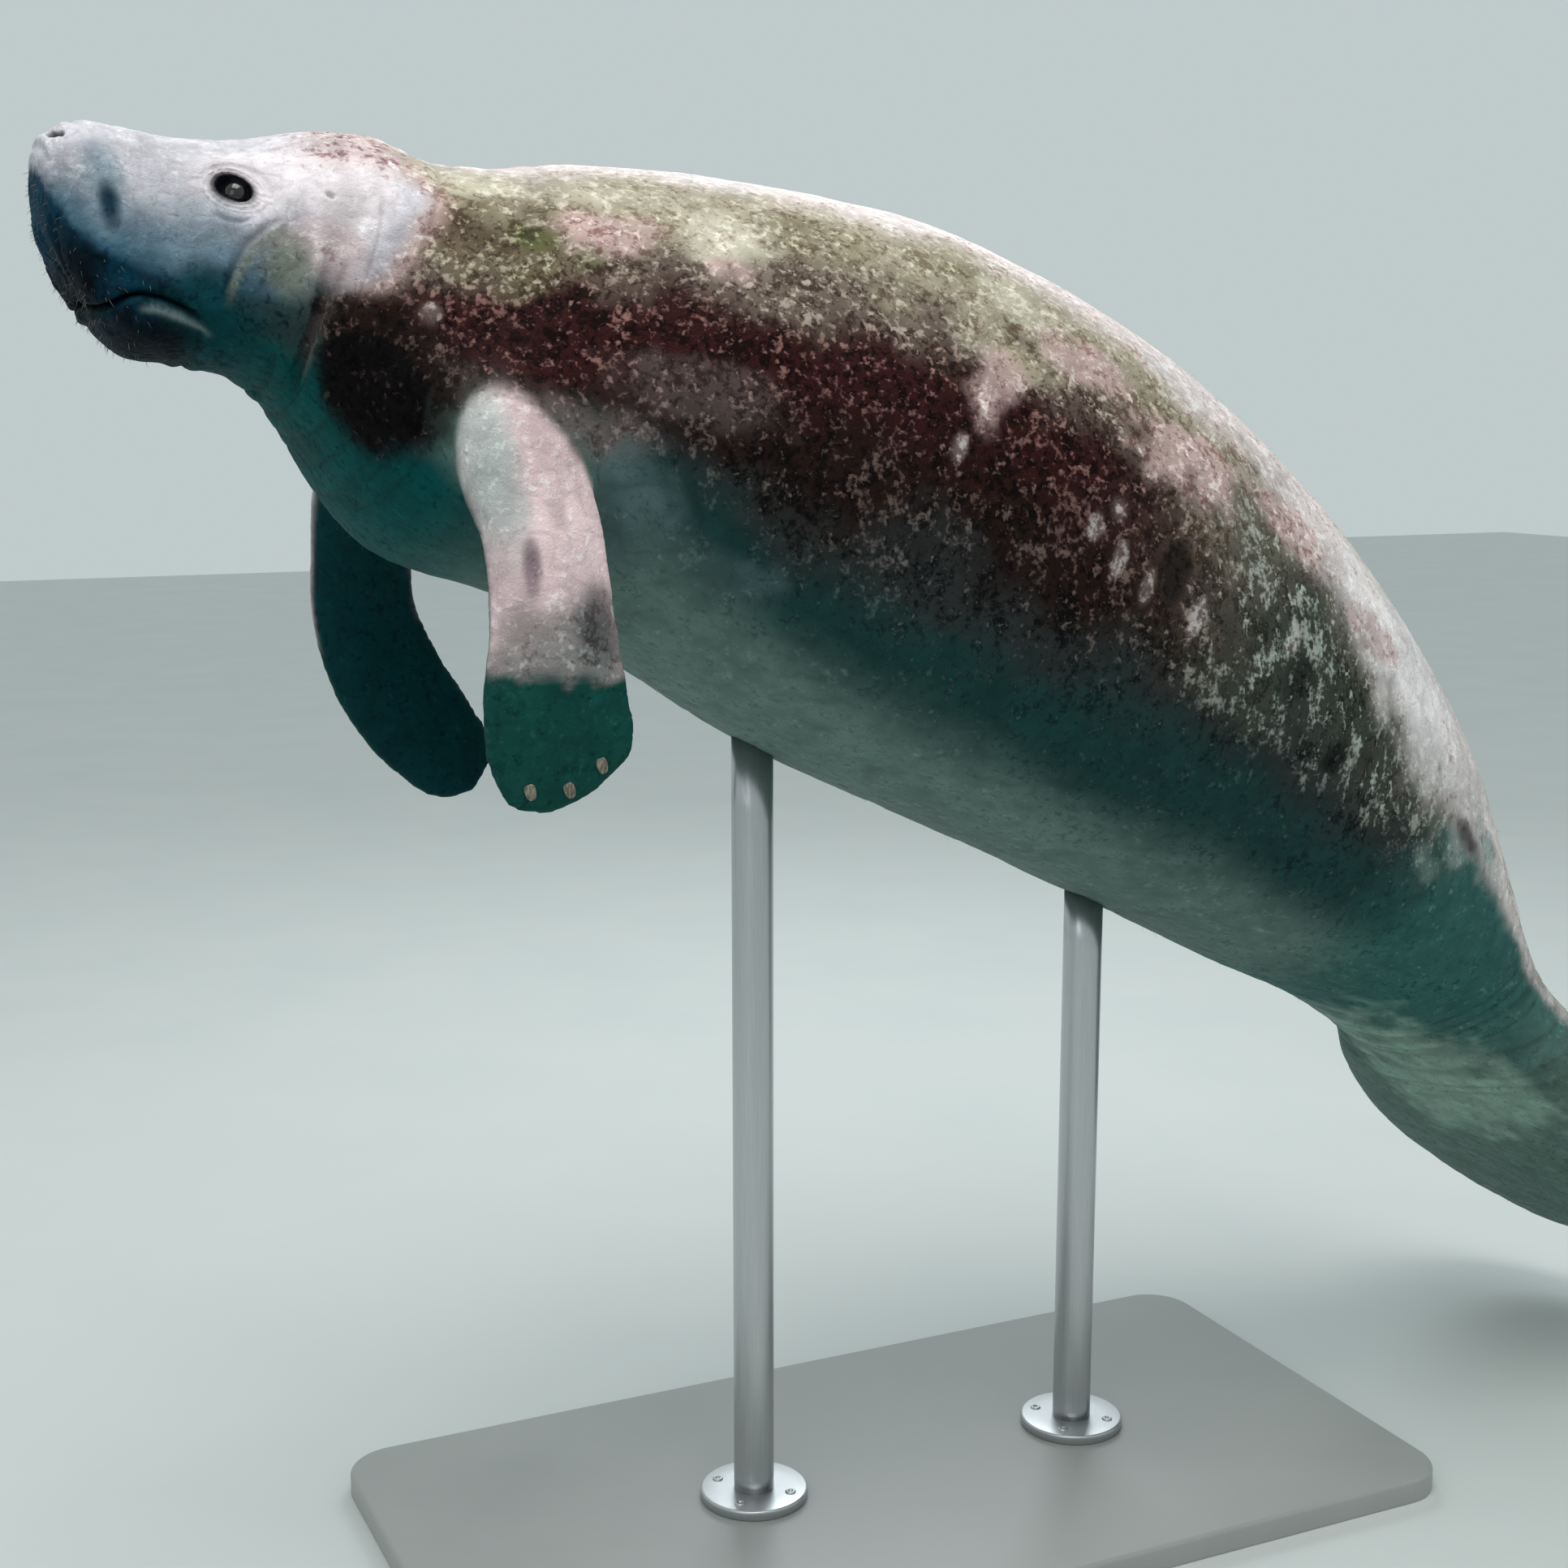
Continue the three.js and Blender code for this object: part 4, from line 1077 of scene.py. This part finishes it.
def edgeAt(name, value):
    pairs = np.array(edges[name], float)
    return np.interp(value, pairs[:, 0], pairs[:, 1])


def styleRow(name):
    hide, darkShare, dark, lightShare, light, streak = styles[name]
    return np.array([*tone(*hide)[:3], *tone(*dark)[:3], *tone(*light)[:3], darkShare, lightShare, streak])


def paintHide(points, spot, marks):
    x, y, z = points.T
    along, down = spot.along, spot.down
    grain = sum(rise * softNoise(points, size, seed) for size, rise, seed in edgeGrain)
    body = 1 - spot.flipper
    coat = np.tile(styleRow("back"), (len(points), 1))
    everywhere = np.ones(len(points))

    def past(zone, value):  # 0 before a zone, 1 past it
        return ramp(value, *zones[zone])

    def paint(style, share):
        coat[:] += (styleRow(style) - coat) * np.clip(share, 0, 1)[:, None]

    def below(edge, soft, ragged=1.0):
        line = edgeAt(edge, along)
        return ramp(down + ragged * grain, line - soft, line + soft)

    def nearEdge(edge, name, ragged):
        start, full = rimSofts[name]
        return ramp(down + ragged * grain, edgeAt(edge, along) - start, edgeAt(edge, along) - full)

    def mottled(name):
        size, seed, fineSize, fineSeed = topPatches[name]
        return softNoise(points, size, seed) + 0.6 * softNoise(points, fineSize, fineSeed)

    def oval(name):
        middle, length, place, width = blots[name]
        return ((along - middle) / length) ** 2 + ((down - place) / width) ** 2

    def paintSpots(spots, at, over, where, ragged):
        for style, middle, place, length, width, strength in spots:
            gap = ((at - middle) / length) ** 2 + ((over - place) / width) ** 2
            paint(style, strength * where * (1 - ramp(gap + ragged * grain, 0.0, 2.4)))

    # The back and flanks, from the pale rim down to the belly, with a painted highlight along the top and
    # painted shade low on the flanks and underneath.
    # The pale top, partly the hide's own tone and partly a painted highlight.
    paint("rim", 1 - below("rim", 10, 1.3))
    forward = 1 - past("trunkEnd", along)
    paint("brown", nearEdge("maroon", "brown", 1) * (0.4 + 0.6 * forward))
    paint("maroon", below("maroon", 7) * (0.15 + 0.85 * forward))
    paint("umber", below("umber", 8) * (0.3 + 0.7 * forward))
    rear = past("rearStart", along + 8 * grain) * (1 - past("rearEnd", along))
    paint("lichen", rear * below("rim", 14) * 0.95)
    # A brighter painted highlight along the top of the rear, dimming towards the tail.
    light = past("rimHighlight", along) * (1 - 0.6 * past("rimDim", along))
    paint("rimHighlight", light * (1 - below("rim", 9)))
    top = (1 - nearEdge("rim", "top", 2)) * past("topStart", along)
    drift, pale = mottled("drift"), mottled("pale")
    paint("back", 0.75 * top)
    paint("olive", 0.55 * top * ramp(drift, 0.1, 0.8))
    paint("brown", 0.45 * top * ramp(-drift, 0.25, 0.9))
    paint("rim", 0.7 * top * ramp(pale, 0.25, 0.7))
    paint("blush", 0.5 * top * ramp(-pale, 0.35, 0.8))
    paint("charcoal", below("charcoal", 7))
    # Painted shade, dark teal, low on the flanks.
    paint("tealShade", below("tealShade", 8, 0.8))
    # The underside: the hide's grey with painted green-tinted shade.
    paint("belly", below("belly", 13, 0.5))

    # The tail, the single marks, the painted shade under the neck, and the dark blot behind it, part dark
    # algae and part painted shade.
    # Painted shade, teal, on the lower side of the tail stock.
    tail = past("tail", along + 6 * grain)
    paint("tail", tail * ramp(down + grain, 92 - 20 * tail, 106 - 20 * tail))
    # The paddle: the hide's grey with painted green-tinted shade, fullest below.
    paint("paddle", past("paddle", along + 10 * grain) * (0.7 + 0.3 * past("paddleSide", down)))
    paintSpots(bodySpots, along, down, body, 0.34)
    # Painted shade, teal, under the neck.
    paint("throatShade", past("throatShade", down + grain) * (1 - past("throatEnd", along)) * body)
    # The dark blot before the shoulder: part dark algae, part painted shade.
    shadeAndAlgaePatch = oval("shadeAndAlgaePatch")
    paint("shadeAndAlgaePatch", (1 - ramp(shadeAndAlgaePatch + 0.07 * grain, 0.5, 1.5)) * body)
    smoke = 1 - ramp(oval("smoke") + 0.1 * grain, 0.3, 1.6)
    paint("umber", 0.85 * smoke * (shadeAndAlgaePatch > 0.7) * body)

    # The face is painted whole, then kept in front of its edge only. Down its sides and under it the paint
    # is shade, with painted highlights above the eye and along its folds.
    faceEdge = edgeAt("face", down) + 1.6 * grain
    face = 1 - ramp(along, faceEdge - 14, faceEdge + 14)
    paint("blush", 0.8 * (1 - ramp(along, faceEdge, faceEdge + 34)) * (1 - past("blushEnd", down)))
    before = coat.copy()
    paint("face", everywhere)
    lower = down - 9 * past("jowl", along) + 0.5 * grain
    # Painted shade down the sides of the face.
    paint("faceSideShade", past("faceSideShade", lower))
    # Painted highlights above the eye and on the neck.
    paintSpots(faceHighlights, along, down, 1.0, 0.05)
    paint("crown", 0.85 * past("crown", along + 2 * grain) * (1 - past("crownEnd", down)))
    # Painted shade under the face, darker and bluer lower down.
    paint("faceShade", past("faceShade", lower))
    paint("faceLowShade", past("faceLowShade", lower))
    # Painted shade, teal, under the head.
    paint("throatShade", past("faceThroat", down + 0.5 * grain))
    paintSpots(faceSpots, along, down, 1.0, 0.05)
    # A painted highlight along the cheek's fold, in the cheek's olive tone.
    paint("cheek", 0.8 * marks["cheekHighlight"])
    coat[:] = before + (coat - before) * face[:, None]

    # Painted shade under the head, on the muzzle's pad and in the grooves of the mouth and nostrils;
    # painted highlights on the lip and the neck's fold; and the lids.
    # Painted shade under the head.
    jawShade = past("jawShade", down + 0.5 * grain) * past("jawStart", along) * (1 - past("jawEnd", along))
    paint("jawShade", jawShade)
    # Where the pad is painted dark as shade.
    arch = pad["top"] - pad["drop"] * (np.abs(y) / pad["half"]) ** pad["bend"]
    arch -= pad["slope"] * np.maximum(x - pad["side"], 0)
    shadedDisk = ramp(arch - z + 3 * grain, *pad["soft"]) * (1 - ramp(x, *pad["ends"])) * body
    paint("shadedDisk", shadedDisk)
    front = 1 - past("snout", along)
    # Darker painted shade low on the pad and under the chin.
    paint("diskLowShade", front * shadedDisk * past("padShade", pad["low"] - z + 4 * grain))
    paint("diskLowShade", (1 - front) * past("chin", down + 0.4 * grain) * (1 - past("chinEnd", along)))
    # A painted highlight along the lower lip.
    paint("lip", marks["lipHighlight"] * 0.7)
    # Painted shade in the grooves of the mouth and nostrils.
    paint("diskLowShade", np.maximum(marks["mouth"], 0.8 * marks["nostril"]))
    # A painted highlight along the neck's fold, in the rose tone.
    paint("rose", 0.7 * marks["neckFoldHighlight"])
    paint("lid", marks["lid"])

    # The flippers, painted whole and then kept off the body, with painted shade on their tips and inner
    # faces and a painted highlight on the outer face.
    limb = past("limb", spot.flipper + 0.04 * grain) * (1 - past("armpit", z + 3 * grain))
    before = coat.copy()
    paint("limb", everywhere)
    paintSpots(limbSpots, spot.reach, spot.chordAt, 1.0, 0.1)
    # Painted shade, teal, on the flipper's tip.
    paint("limbTipShade", past("limbTipShade", spot.reach + 2.6 * grain))
    paint("limbShade", 1 - past("outerFace", spot.outer + 0.02 * grain))
    coat[:] = before + (coat - before) * limb[:, None]
    marks["shadedDisk"] = shadedDisk
    return coat


def setTones(mesh, name, tones):
    made = mesh.attributes.new(name, "FLOAT_COLOR", "POINT")
    made.data.foreach_set("color", np.column_stack([tones, np.ones(len(tones))]).astype(np.float32).ravel())


def setMark(mesh, name, values):
    made = mesh.attributes.new(name, "FLOAT", "POINT")
    made.data.foreach_set("value", values.astype(np.float32))


def makeSkin():
    mesh, solids = plainSkin()
    points = readPoints(mesh)
    along, turn = locate(points)
    spot = flipperPlaces(points, solids)
    spot.along, spot.turn, spot.down = along, turn, foldedDown(turn)
    names = ("lid", "crease", "mouth", "nostril", "calm", "lipHighlight", "cheekHighlight", "neckFoldHighlight")
    marks = {name: np.zeros(len(points)) for name in names}
    for side in (-1, 1):
        around = np.linalg.norm(points - eyeFrame(side).point, axis=1)
        marks["calm"] = np.maximum(marks["calm"], 1 - ramp(around, *calmReach))
        for name, (path, wide) in highlightLines.items():
            far, place = pathDistance(points, path, side)
            share = np.exp(-((far / wide) ** 2)) * between(place, 0, *highlightEnds, 1)
            marks[name] = np.maximum(marks[name], share)
    sculptLines(points, readNormals(mesh), marks)
    for side in (-1, 1):
        sculptEye(points, side, marks)
    writePoints(mesh, points)
    sculptRelief(points, readNormals(mesh), spot, marks)
    writePoints(mesh, points)
    coat = paintHide(points, spot, marks)
    for i, name in enumerate(("hideTone", "darkTone", "lightTone")):
        setTones(mesh, name, coat[:, 3 * i : 3 * i + 3])
    for i, name in enumerate(("darkShare", "lightShare", "streak")):
        setMark(mesh, name, coat[:, 9 + i])
    setMark(mesh, "crease", marks["crease"])
    mesh.name = "skin"
    mesh.shade_smooth()
    skin = bpy.data.objects.new("skin", mesh)
    bpy.context.scene.collection.objects.link(skin)
    return skin, points, marks


# Patterns of the hide: scale, detail, roughness, warp and, for one, how it is drawn out.
hideNoise = {
    "blobs": (84, 3, 0.6, 0.5), "grains": (210, 2, 0.6), "clouds": (13, 3, 0.55),
    "patches": (38, 2, 0.5, 0.3), "drops": (112, 2, 0.55, 0.3),
    "strands": (96, 2, 0.55, 0.2, (1, 1, 0.32)), "fine": (480, 2, 0.6),
}
hideLook = {
    "spread": 0.42,  # how far a speck's threshold moves as its share goes from 0 to 1
    "edge": (0.41, 0.62),
    "streak": 0.8,
    "grainy": 0.5,
    "patchy": 0.3,
    "darkClouds": 0.3,
    "lightClouds": -0.35,
    "mottleTones": ((0.8, 0.8, 0.8, 1), (1.14, 1.14, 1.14, 1)),
    # How far painted shade darkens creases and grooves.
    "creaseShadeTones": ((1, 1, 1, 1), (0.4, 0.38, 0.38, 1)),
    "rough": 0.58,
    "bump": (0.0014, 0.8),  # metres and strength
}


def skinMaterial():
    material, start = startMaterial("skin")
    blobs, grains, clouds, patches, drops, strands, fine = (
        noise(start, *row) for row in hideNoise.values()
    )
    drawn = field(start, "streak")

    def specks(pattern, share, spread):
        pattern = pattern + (strands - pattern) * drawn * hideLook["streak"]
        level = pattern + (grains - 0.5) * hideLook["grainy"] + (patches - 0.5) * hideLook["patchy"]
        level = level + (clouds - 0.5) * spread + (share - 0.5) * hideLook["spread"]
        return step(level, *hideLook["edge"]) * step(share, 0.0, 0.1)

    dark = specks(blobs, field(start, "darkShare"), hideLook["darkClouds"])
    light = specks(1 - drops, field(start, "lightShare"), hideLook["lightClouds"])
    colour = blend(dark, colourField(start, "hideTone"), colourField(start, "darkTone"))
    colour = blend(light, colour, colourField(start, "lightTone"))
    uneven = step(clouds * 0.6 + patches * 0.4 + (fine - 0.5) * 0.25, 0.34, 0.66)
    colour = tint(colour, blend(uneven, *hideLook["mottleTones"]))
    # Painted shade in creases and grooves.
    colour = tint(colour, blend(field(start, "crease"), *hideLook["creaseShadeTones"]))
    height = light * 0.25 - dark * 0.25 + grains * 0.7 + fine * 0.6
    values = {
        "Base Color": colour,
        "Roughness": hideLook["rough"] + dark * 0.1 + (grains - 0.5) * 0.2,
        "Specular IOR Level": 0.06,
        "Normal": bumpOf(height, *hideLook["bump"]),
    }
    return endMaterial(material, start, values)


skin, skinPoints, skinMarks = makeSkin()
skin.data.materials.append(skinMaterial())
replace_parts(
    skin, "head", "neck", "chest", "belly", "loin", "tail_stock", "tail_paddle",
    "left_flipper", "right_flipper",
)
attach(skin, "root")
print("skin done,", len(skin.data.polygons), "faces")


# Eyes

eyeBall = {"radius": 12.8, "around": 56, "down": 40, "bulge": 0.5, "bulgeWide": 0.42}
irisRings = (  # from the rim of the ball to its middle
    (0.0, (22, 17, 17)), (0.5, (38, 29, 25)), (0.62, (16, 11, 9)),
    (0.8, (32, 21, 15)), (0.86, (4, 4, 4)), (1.0, (2, 2, 3)),
)


def eyeMaterial():
    material, start = startMaterial("eye")
    gaze = field(start, "gaze")
    streaks = noise(start, 900, 2)
    stops = [(place, tone(*shade)) for place, shade in irisRings]
    ringed = start.node("ShaderNodeValToRGB", {"stops": stops}, {"Fac": gaze + (streaks - 0.5) * 0.08})
    values = {"Base Color": ringed, "Roughness": 0.14, "Coat Weight": 0.6, "Coat Roughness": 0.03}
    return endMaterial(material, start, values)


def makeEye(name, side):
    at = eyeFrame(side)
    centre = at.point - at.out * eye["depth"]
    fall = np.linspace(0, math.pi, eyeBall["down"] + 2)[1:-1, None]
    turn = np.linspace(0, 2 * math.pi, eyeBall["around"], endpoint=False)[None, :]
    ways = (
        at.out * np.cos(fall)[..., None]
        + at.back * (np.sin(fall) * np.cos(turn))[..., None]
        + np.cross(at.out, at.back) * (np.sin(fall) * np.sin(turn))[..., None]
    )
    bulge = eyeBall["radius"] + eyeBall["bulge"] * np.exp(-((fall / eyeBall["bulgeWide"]) ** 2))
    rings = centre + ways * (bulge * np.ones_like(turn))[..., None]
    points, faces = closedGrid(rings)
    points[-2] = centre + at.out * (eyeBall["radius"] + eyeBall["bulge"])
    points[-1] = centre - at.out * eyeBall["radius"]
    ball = newObject(name, points * mm, faces)
    gaze = (points - centre) @ at.out / eyeBall["radius"]
    setMark(ball.data, "gaze", np.clip(gaze, 0, 1))
    ball.data.materials.append(eyeShine)
    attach(ball, "root")
    return ball


eyeShine = eyeMaterial()
for sideName, side in sideOf.items():
    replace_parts(makeEye(sideName + "Eye", side), sideName + "_eye")
print("eyes done")


# Nails

nails = {
    "front": {"back": 28, "across": -0.62},
    "middle": {"back": 17, "across": -0.1},
    "rear": {"back": 28, "across": 0.45},
}
nailShape = {
    "length": 17, "width": 11, "height": 5, "rings": 20, "sides": 24,
    "ridges": 0.12, "ridgeTurns": 9, "blunt": 2.6, "square": 0.8, "narrows": 0.12,
}


def nailMaterial():
    material, start = startMaterial("nail")
    lines = noise(start, 420, 3, 0.6, stretch=(1, 1, 0.25))
    colour = blend(step(lines, 0.35, 0.7), tone(84, 78, 68), tone(148, 138, 120))
    values = {"Base Color": colour, "Roughness": 0.42, "Normal": bumpOf(lines, 0.0004, 0.6)}
    return endMaterial(material, start, values)


def makeNail(name, flipperName, nail):
    side = sideOf[flipperName]
    end = flipperLength(flipperName)
    at = flipperFrames(flipperName, np.array(end - nail["back"]))
    outward = 1 if np.sign(at.thickWay[1]) == side else -1
    centre = flipperPoint(at, outward * math.acos(nail["across"]))
    out = at.thickWay * outward
    along = at.way
    across = np.cross(out, along)
    t = np.linspace(-1, 1, nailShape["rings"] + 2)[1:-1, None]
    turn = np.linspace(0, 2 * math.pi, nailShape["sides"], endpoint=False)[None, :]
    swell = (1 - np.abs(t) ** nailShape["blunt"]) ** 0.5
    ridge = nailShape["ridges"] * np.cos(nailShape["ridgeTurns"] * math.pi * t)
    ridge = ridge * np.maximum(np.sin(turn), 0)
    square = nailShape["square"]
    wide = 0.5 * nailShape["width"] * swell * signedPower(np.cos(turn), square)
    wide = wide * (1 - nailShape["narrows"] * t)
    high = 0.5 * nailShape["height"] * swell * signedPower(np.sin(turn), square) + ridge
    long = 0.5 * nailShape["length"] * t * np.ones_like(turn)
    rings = centre + long[..., None] * along + wide[..., None] * across + high[..., None] * out
    points, faces = closedGrid(rings)
    piece = newObject(name, points * mm, faces)
    piece.data.materials.append(horn)
    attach(piece, "root")
    return piece


horn = nailMaterial()
for sideName in sideOf:
    for nailName, nail in nails.items():
        piece = makeNail(sideName + "Nail" + nailName.capitalize(), sideName, nail)
        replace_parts(piece, f"{sideName}_nail_{nailName}")
print("nails done")


# Bristles and hairs

hairKinds = {
    "muzzleBristles": {"count": 220, "length": (4, 9), "radius": 0.4, "lean": 0.3, "seed": 71},
    "bodyHairs": {"count": 1100, "length": (5, 9), "radius": 0.18, "lean": 0.9, "seed": 72},
}
hairShape = {"joints": 4, "sides": 3, "sunk": 1.2, "droop": 0.18, "taper": 0.82, "spread": 0.35}
hairWay = np.array([0.6, 0, -0.8])  # back and down, as water lays them
hairAside = [0.3, 0.2, 0.93]  # no hair lies along this way


def hairMaterial():
    material, start = startMaterial("bristle")
    shade = noise(start, 60, 1)
    colour = blend(step(shade, 0.3, 0.7), tone(84, 84, 80), tone(128, 122, 112))
    return endMaterial(material, start, {"Base Color": colour, "Roughness": 0.5})


def makeHairs(name, chance):
    kind = hairKinds[name]
    draw = np.random.default_rng(kind["seed"])
    chance = chance * skinArea
    roots = draw.choice(len(skinPoints), kind["count"], replace=False, p=chance / chance.sum())
    at = skinPoints[roots]
    out = skinNormals[roots]
    back = hairWay + draw.normal(0, hairShape["spread"], (len(roots), 3))
    way = out + kind["lean"] * back
    way /= np.linalg.norm(way, axis=1, keepdims=True)
    length = draw.uniform(*kind["length"], len(roots))[:, None]
    first = np.cross(way, hairAside)
    first /= np.linalg.norm(first, axis=1, keepdims=True)
    second = np.cross(way, first)
    joints, sides = hairShape["joints"], hairShape["sides"]
    rings = []
    for j in range(joints):
        t = j / (joints - 1)
        middle = at - out * hairShape["sunk"] + way * length * t
        middle = middle + back * length * hairShape["droop"] * t * t
        radius = kind["radius"] * (1 - hairShape["taper"] * t)
        for k in range(sides):
            angle = 2 * math.pi * k / sides
            rings.append(middle + radius * (first * math.cos(angle) + second * math.sin(angle)))
    points = np.stack(rings, 1)
    each = joints * sides
    pattern = []
    for j, k in product(range(joints - 1), range(sides)):
        a, b = j * sides + k, j * sides + (k + 1) % sides
        pattern.append((a, b, b + sides, a + sides))
    starts = np.arange(len(roots))[:, None, None] * each
    quads = (np.array(pattern)[None] + starts).reshape(-1, 4).tolist()
    ends = np.array([[2, 1, 0], [each - 3, each - 2, each - 1]])
    caps = (ends[None] + starts).reshape(-1, 3).tolist()
    piece = newObject(name, points.reshape(-1, 3) * mm, quads + caps)
    piece.data.materials.append(bristle)
    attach(piece, "root")


def pointAreas(mesh):  # each point's share of the faces round it
    areas = np.empty(len(mesh.polygons))
    mesh.polygons.foreach_get("area", areas)
    counts = np.empty(len(mesh.polygons), np.int64)
    mesh.polygons.foreach_get("loop_total", counts)
    corners = np.empty(len(mesh.loops), np.int64)
    mesh.loops.foreach_get("vertex_index", corners)
    return np.bincount(corners, np.repeat(areas / counts, counts), len(mesh.vertices))


bristle = hairMaterial()
skinNormals = readNormals(skin.data)
skinArea = pointAreas(skin.data)
makeHairs("muzzleBristles", skinMarks["shadedDisk"] * (1 - skinMarks["mouth"]))
makeHairs("bodyHairs", (1 - skinMarks["lid"]) * (1 - skinMarks["mouth"]))
print("bristles done")


# The stand

stand = {
    "length": 1240, "width": 620, "thick": 30, "corner": 60, "edge": 5, "underEdge": 2,
    "rod": 24, "rodSides": 64, "rodRings": 12, "rodShort": 0.2,
    "flange": 65, "flangeThick": 12, "flangeEdge": 3, "flangeSides": 96,
    "screw": 6.5, "screwRing": 47, "screws": 4, "screwSides": 24,
}
rods = {"front": -190, "rear": 260}  # x of each
# A screw's head as shares of its radius and heights over the flange.
screwHead = ((1, -0.5), (1, 0.8), (0.8, 1.9), (0.45, 2.3), (0.4, 0.6))
gap = 0.3  # mm between the parts of the stand


def boardOutline(inset):
    x, y = stand["length"] / 2 - inset, stand["width"] / 2 - inset
    r = stand["corner"] - inset
    points = []
    for turn, (cx, cy) in enumerate(((x - r, y - r), (-x + r, y - r), (-x + r, -y + r), (x - r, -y + r))):
        for angle in np.linspace(0, math.pi / 2, 14) + turn * math.pi / 2:
            points.append((cx + r * math.cos(angle), cy + r * math.sin(angle)))
    return np.array(points)


def makeBoard():
    edge, under, thick = stand["edge"], stand["underEdge"], stand["thick"]
    bends = np.linspace(0, math.pi / 2, 7)
    levels = [(under * (1 - math.sin(b)), under * (1 - math.cos(b))) for b in bends]
    levels += [(edge * (1 - math.cos(b)), thick - edge * (1 - math.sin(b))) for b in bends]
    rings = []
    for inset, height in levels:
        outline = boardOutline(inset)
        rings.append(np.column_stack([outline, np.full(len(outline), height)]))
    points, faces = closedGrid(np.array(rings))
    return newObject("standBase", points * mm, faces)


def lathed(profile, sides, x):  # a closed turned shape from (radius, height) pairs
    turn = np.linspace(0, 2 * math.pi, sides, endpoint=False)
    rings = [
        np.column_stack([x + r * np.cos(turn), r * np.sin(turn), np.full(sides, z)]) for r, z in profile
    ]
    return closedGrid(np.array(rings))


def addParts(name, parts):
    points, faces, start = [], [], 0
    for partPoints, partFaces in parts:
        points.append(partPoints)
        faces += [tuple(i + start for i in face) for face in partFaces]
        start += len(partPoints)
    return newObject(name, np.concatenate(points) * mm, faces)


def makeFlange(name, x):
    low = stand["thick"] + gap
    high = low + stand["flangeThick"]
    r, edge = stand["flange"], stand["flangeEdge"]
    bends = np.linspace(0, math.pi / 2, 6)
    rim = [(r - edge + edge * math.cos(b), high - edge + edge * math.sin(b)) for b in bends]
    profile = [(r - 1, low), (r, low + 1)] + rim + [(0.6 * r, high + 0.1)]
    parts = [lathed(profile, stand["flangeSides"], x)]
    dome = [(share * stand["screw"], high + rise) for share, rise in screwHead]
    for k in range(stand["screws"]):
        angle = math.pi / 4 + 2 * math.pi * k / stand["screws"]
        away = np.array([math.cos(angle), math.sin(angle), 0]) * stand["screwRing"]
        points, faces = lathed(dome, stand["screwSides"], 0)
        parts.append((points + away + np.array([x, 0, 0]), faces))
    return addParts(name, parts)


def makeRod(name, x):
    low = stand["thick"] + stand["flangeThick"] + 2 * gap
    r, sides = stand["rod"], stand["rodSides"]
    shape = BVHTree.FromObject(skin, bpy.context.evaluated_depsgraph_get())
    turn = np.linspace(0, 2 * math.pi, sides, endpoint=False)
    circle = np.column_stack([x + r * np.cos(turn), r * np.sin(turn)])
    tops = []
    for px, py in circle:
        hit = shape.ray_cast(Vector((px * mm, py * mm, low * mm)), Vector((0, 0, 1)))
        tops.append(hit[0].z / mm - stand["rodShort"])
    tops = np.array(tops)
    rings = [np.column_stack([circle, np.full(sides, low)])]
    for share in np.linspace(0.02, 1, stand["rodRings"]):
        rings.append(np.column_stack([circle, low + (tops - low) * share]))
    points, faces = closedGrid(np.array(rings))
    return newObject(name, points * mm, faces)


def baseMaterial():
    material, start = startMaterial("standBase")
    haze = noise(start, 6, 4, 0.6)
    grain = noise(start, 260, 2, 0.6)
    colour = blend(haze, tone(150, 152, 150), tone(166, 167, 164))
    rough = 0.42 + (haze - 0.5) * 0.2
    values = {"Base Color": colour, "Roughness": rough, "Normal": bumpOf(grain, 0.0003, 0.35)}
    return endMaterial(material, start, values)


def rodMaterial():
    material, start = startMaterial("standRod")
    brush = noise(start, 700, 3, 0.7, stretch=(1, 1, 0.02))
    colour = blend(brush, tone(176, 178, 180), tone(206, 208, 209))
    rough = 0.26 + brush * 0.16
    normal = bumpOf(brush, 0.0002, 0.3)
    values = {"Base Color": colour, "Metallic": 1.0, "Roughness": rough, "Normal": normal}
    return endMaterial(material, start, values)


board = makeBoard()
board.data.materials.append(baseMaterial())
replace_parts(board, "stand_base")
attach(board, "root")
steel = rodMaterial()
for rodName, rodX in rods.items():
    for piece, node in (
        (makeFlange("standFlange" + rodName.capitalize(), rodX), "stand_flange_" + rodName),
        (makeRod("standRod" + rodName.capitalize(), rodX), "stand_rod_" + rodName),
    ):
        piece.data.materials.append(steel)
        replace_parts(piece, node)
        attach(piece, "root")
print("stand done")

total = sum(len(o.data.polygons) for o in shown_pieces() if o.type == "MESH")
print("faces in all:", total)
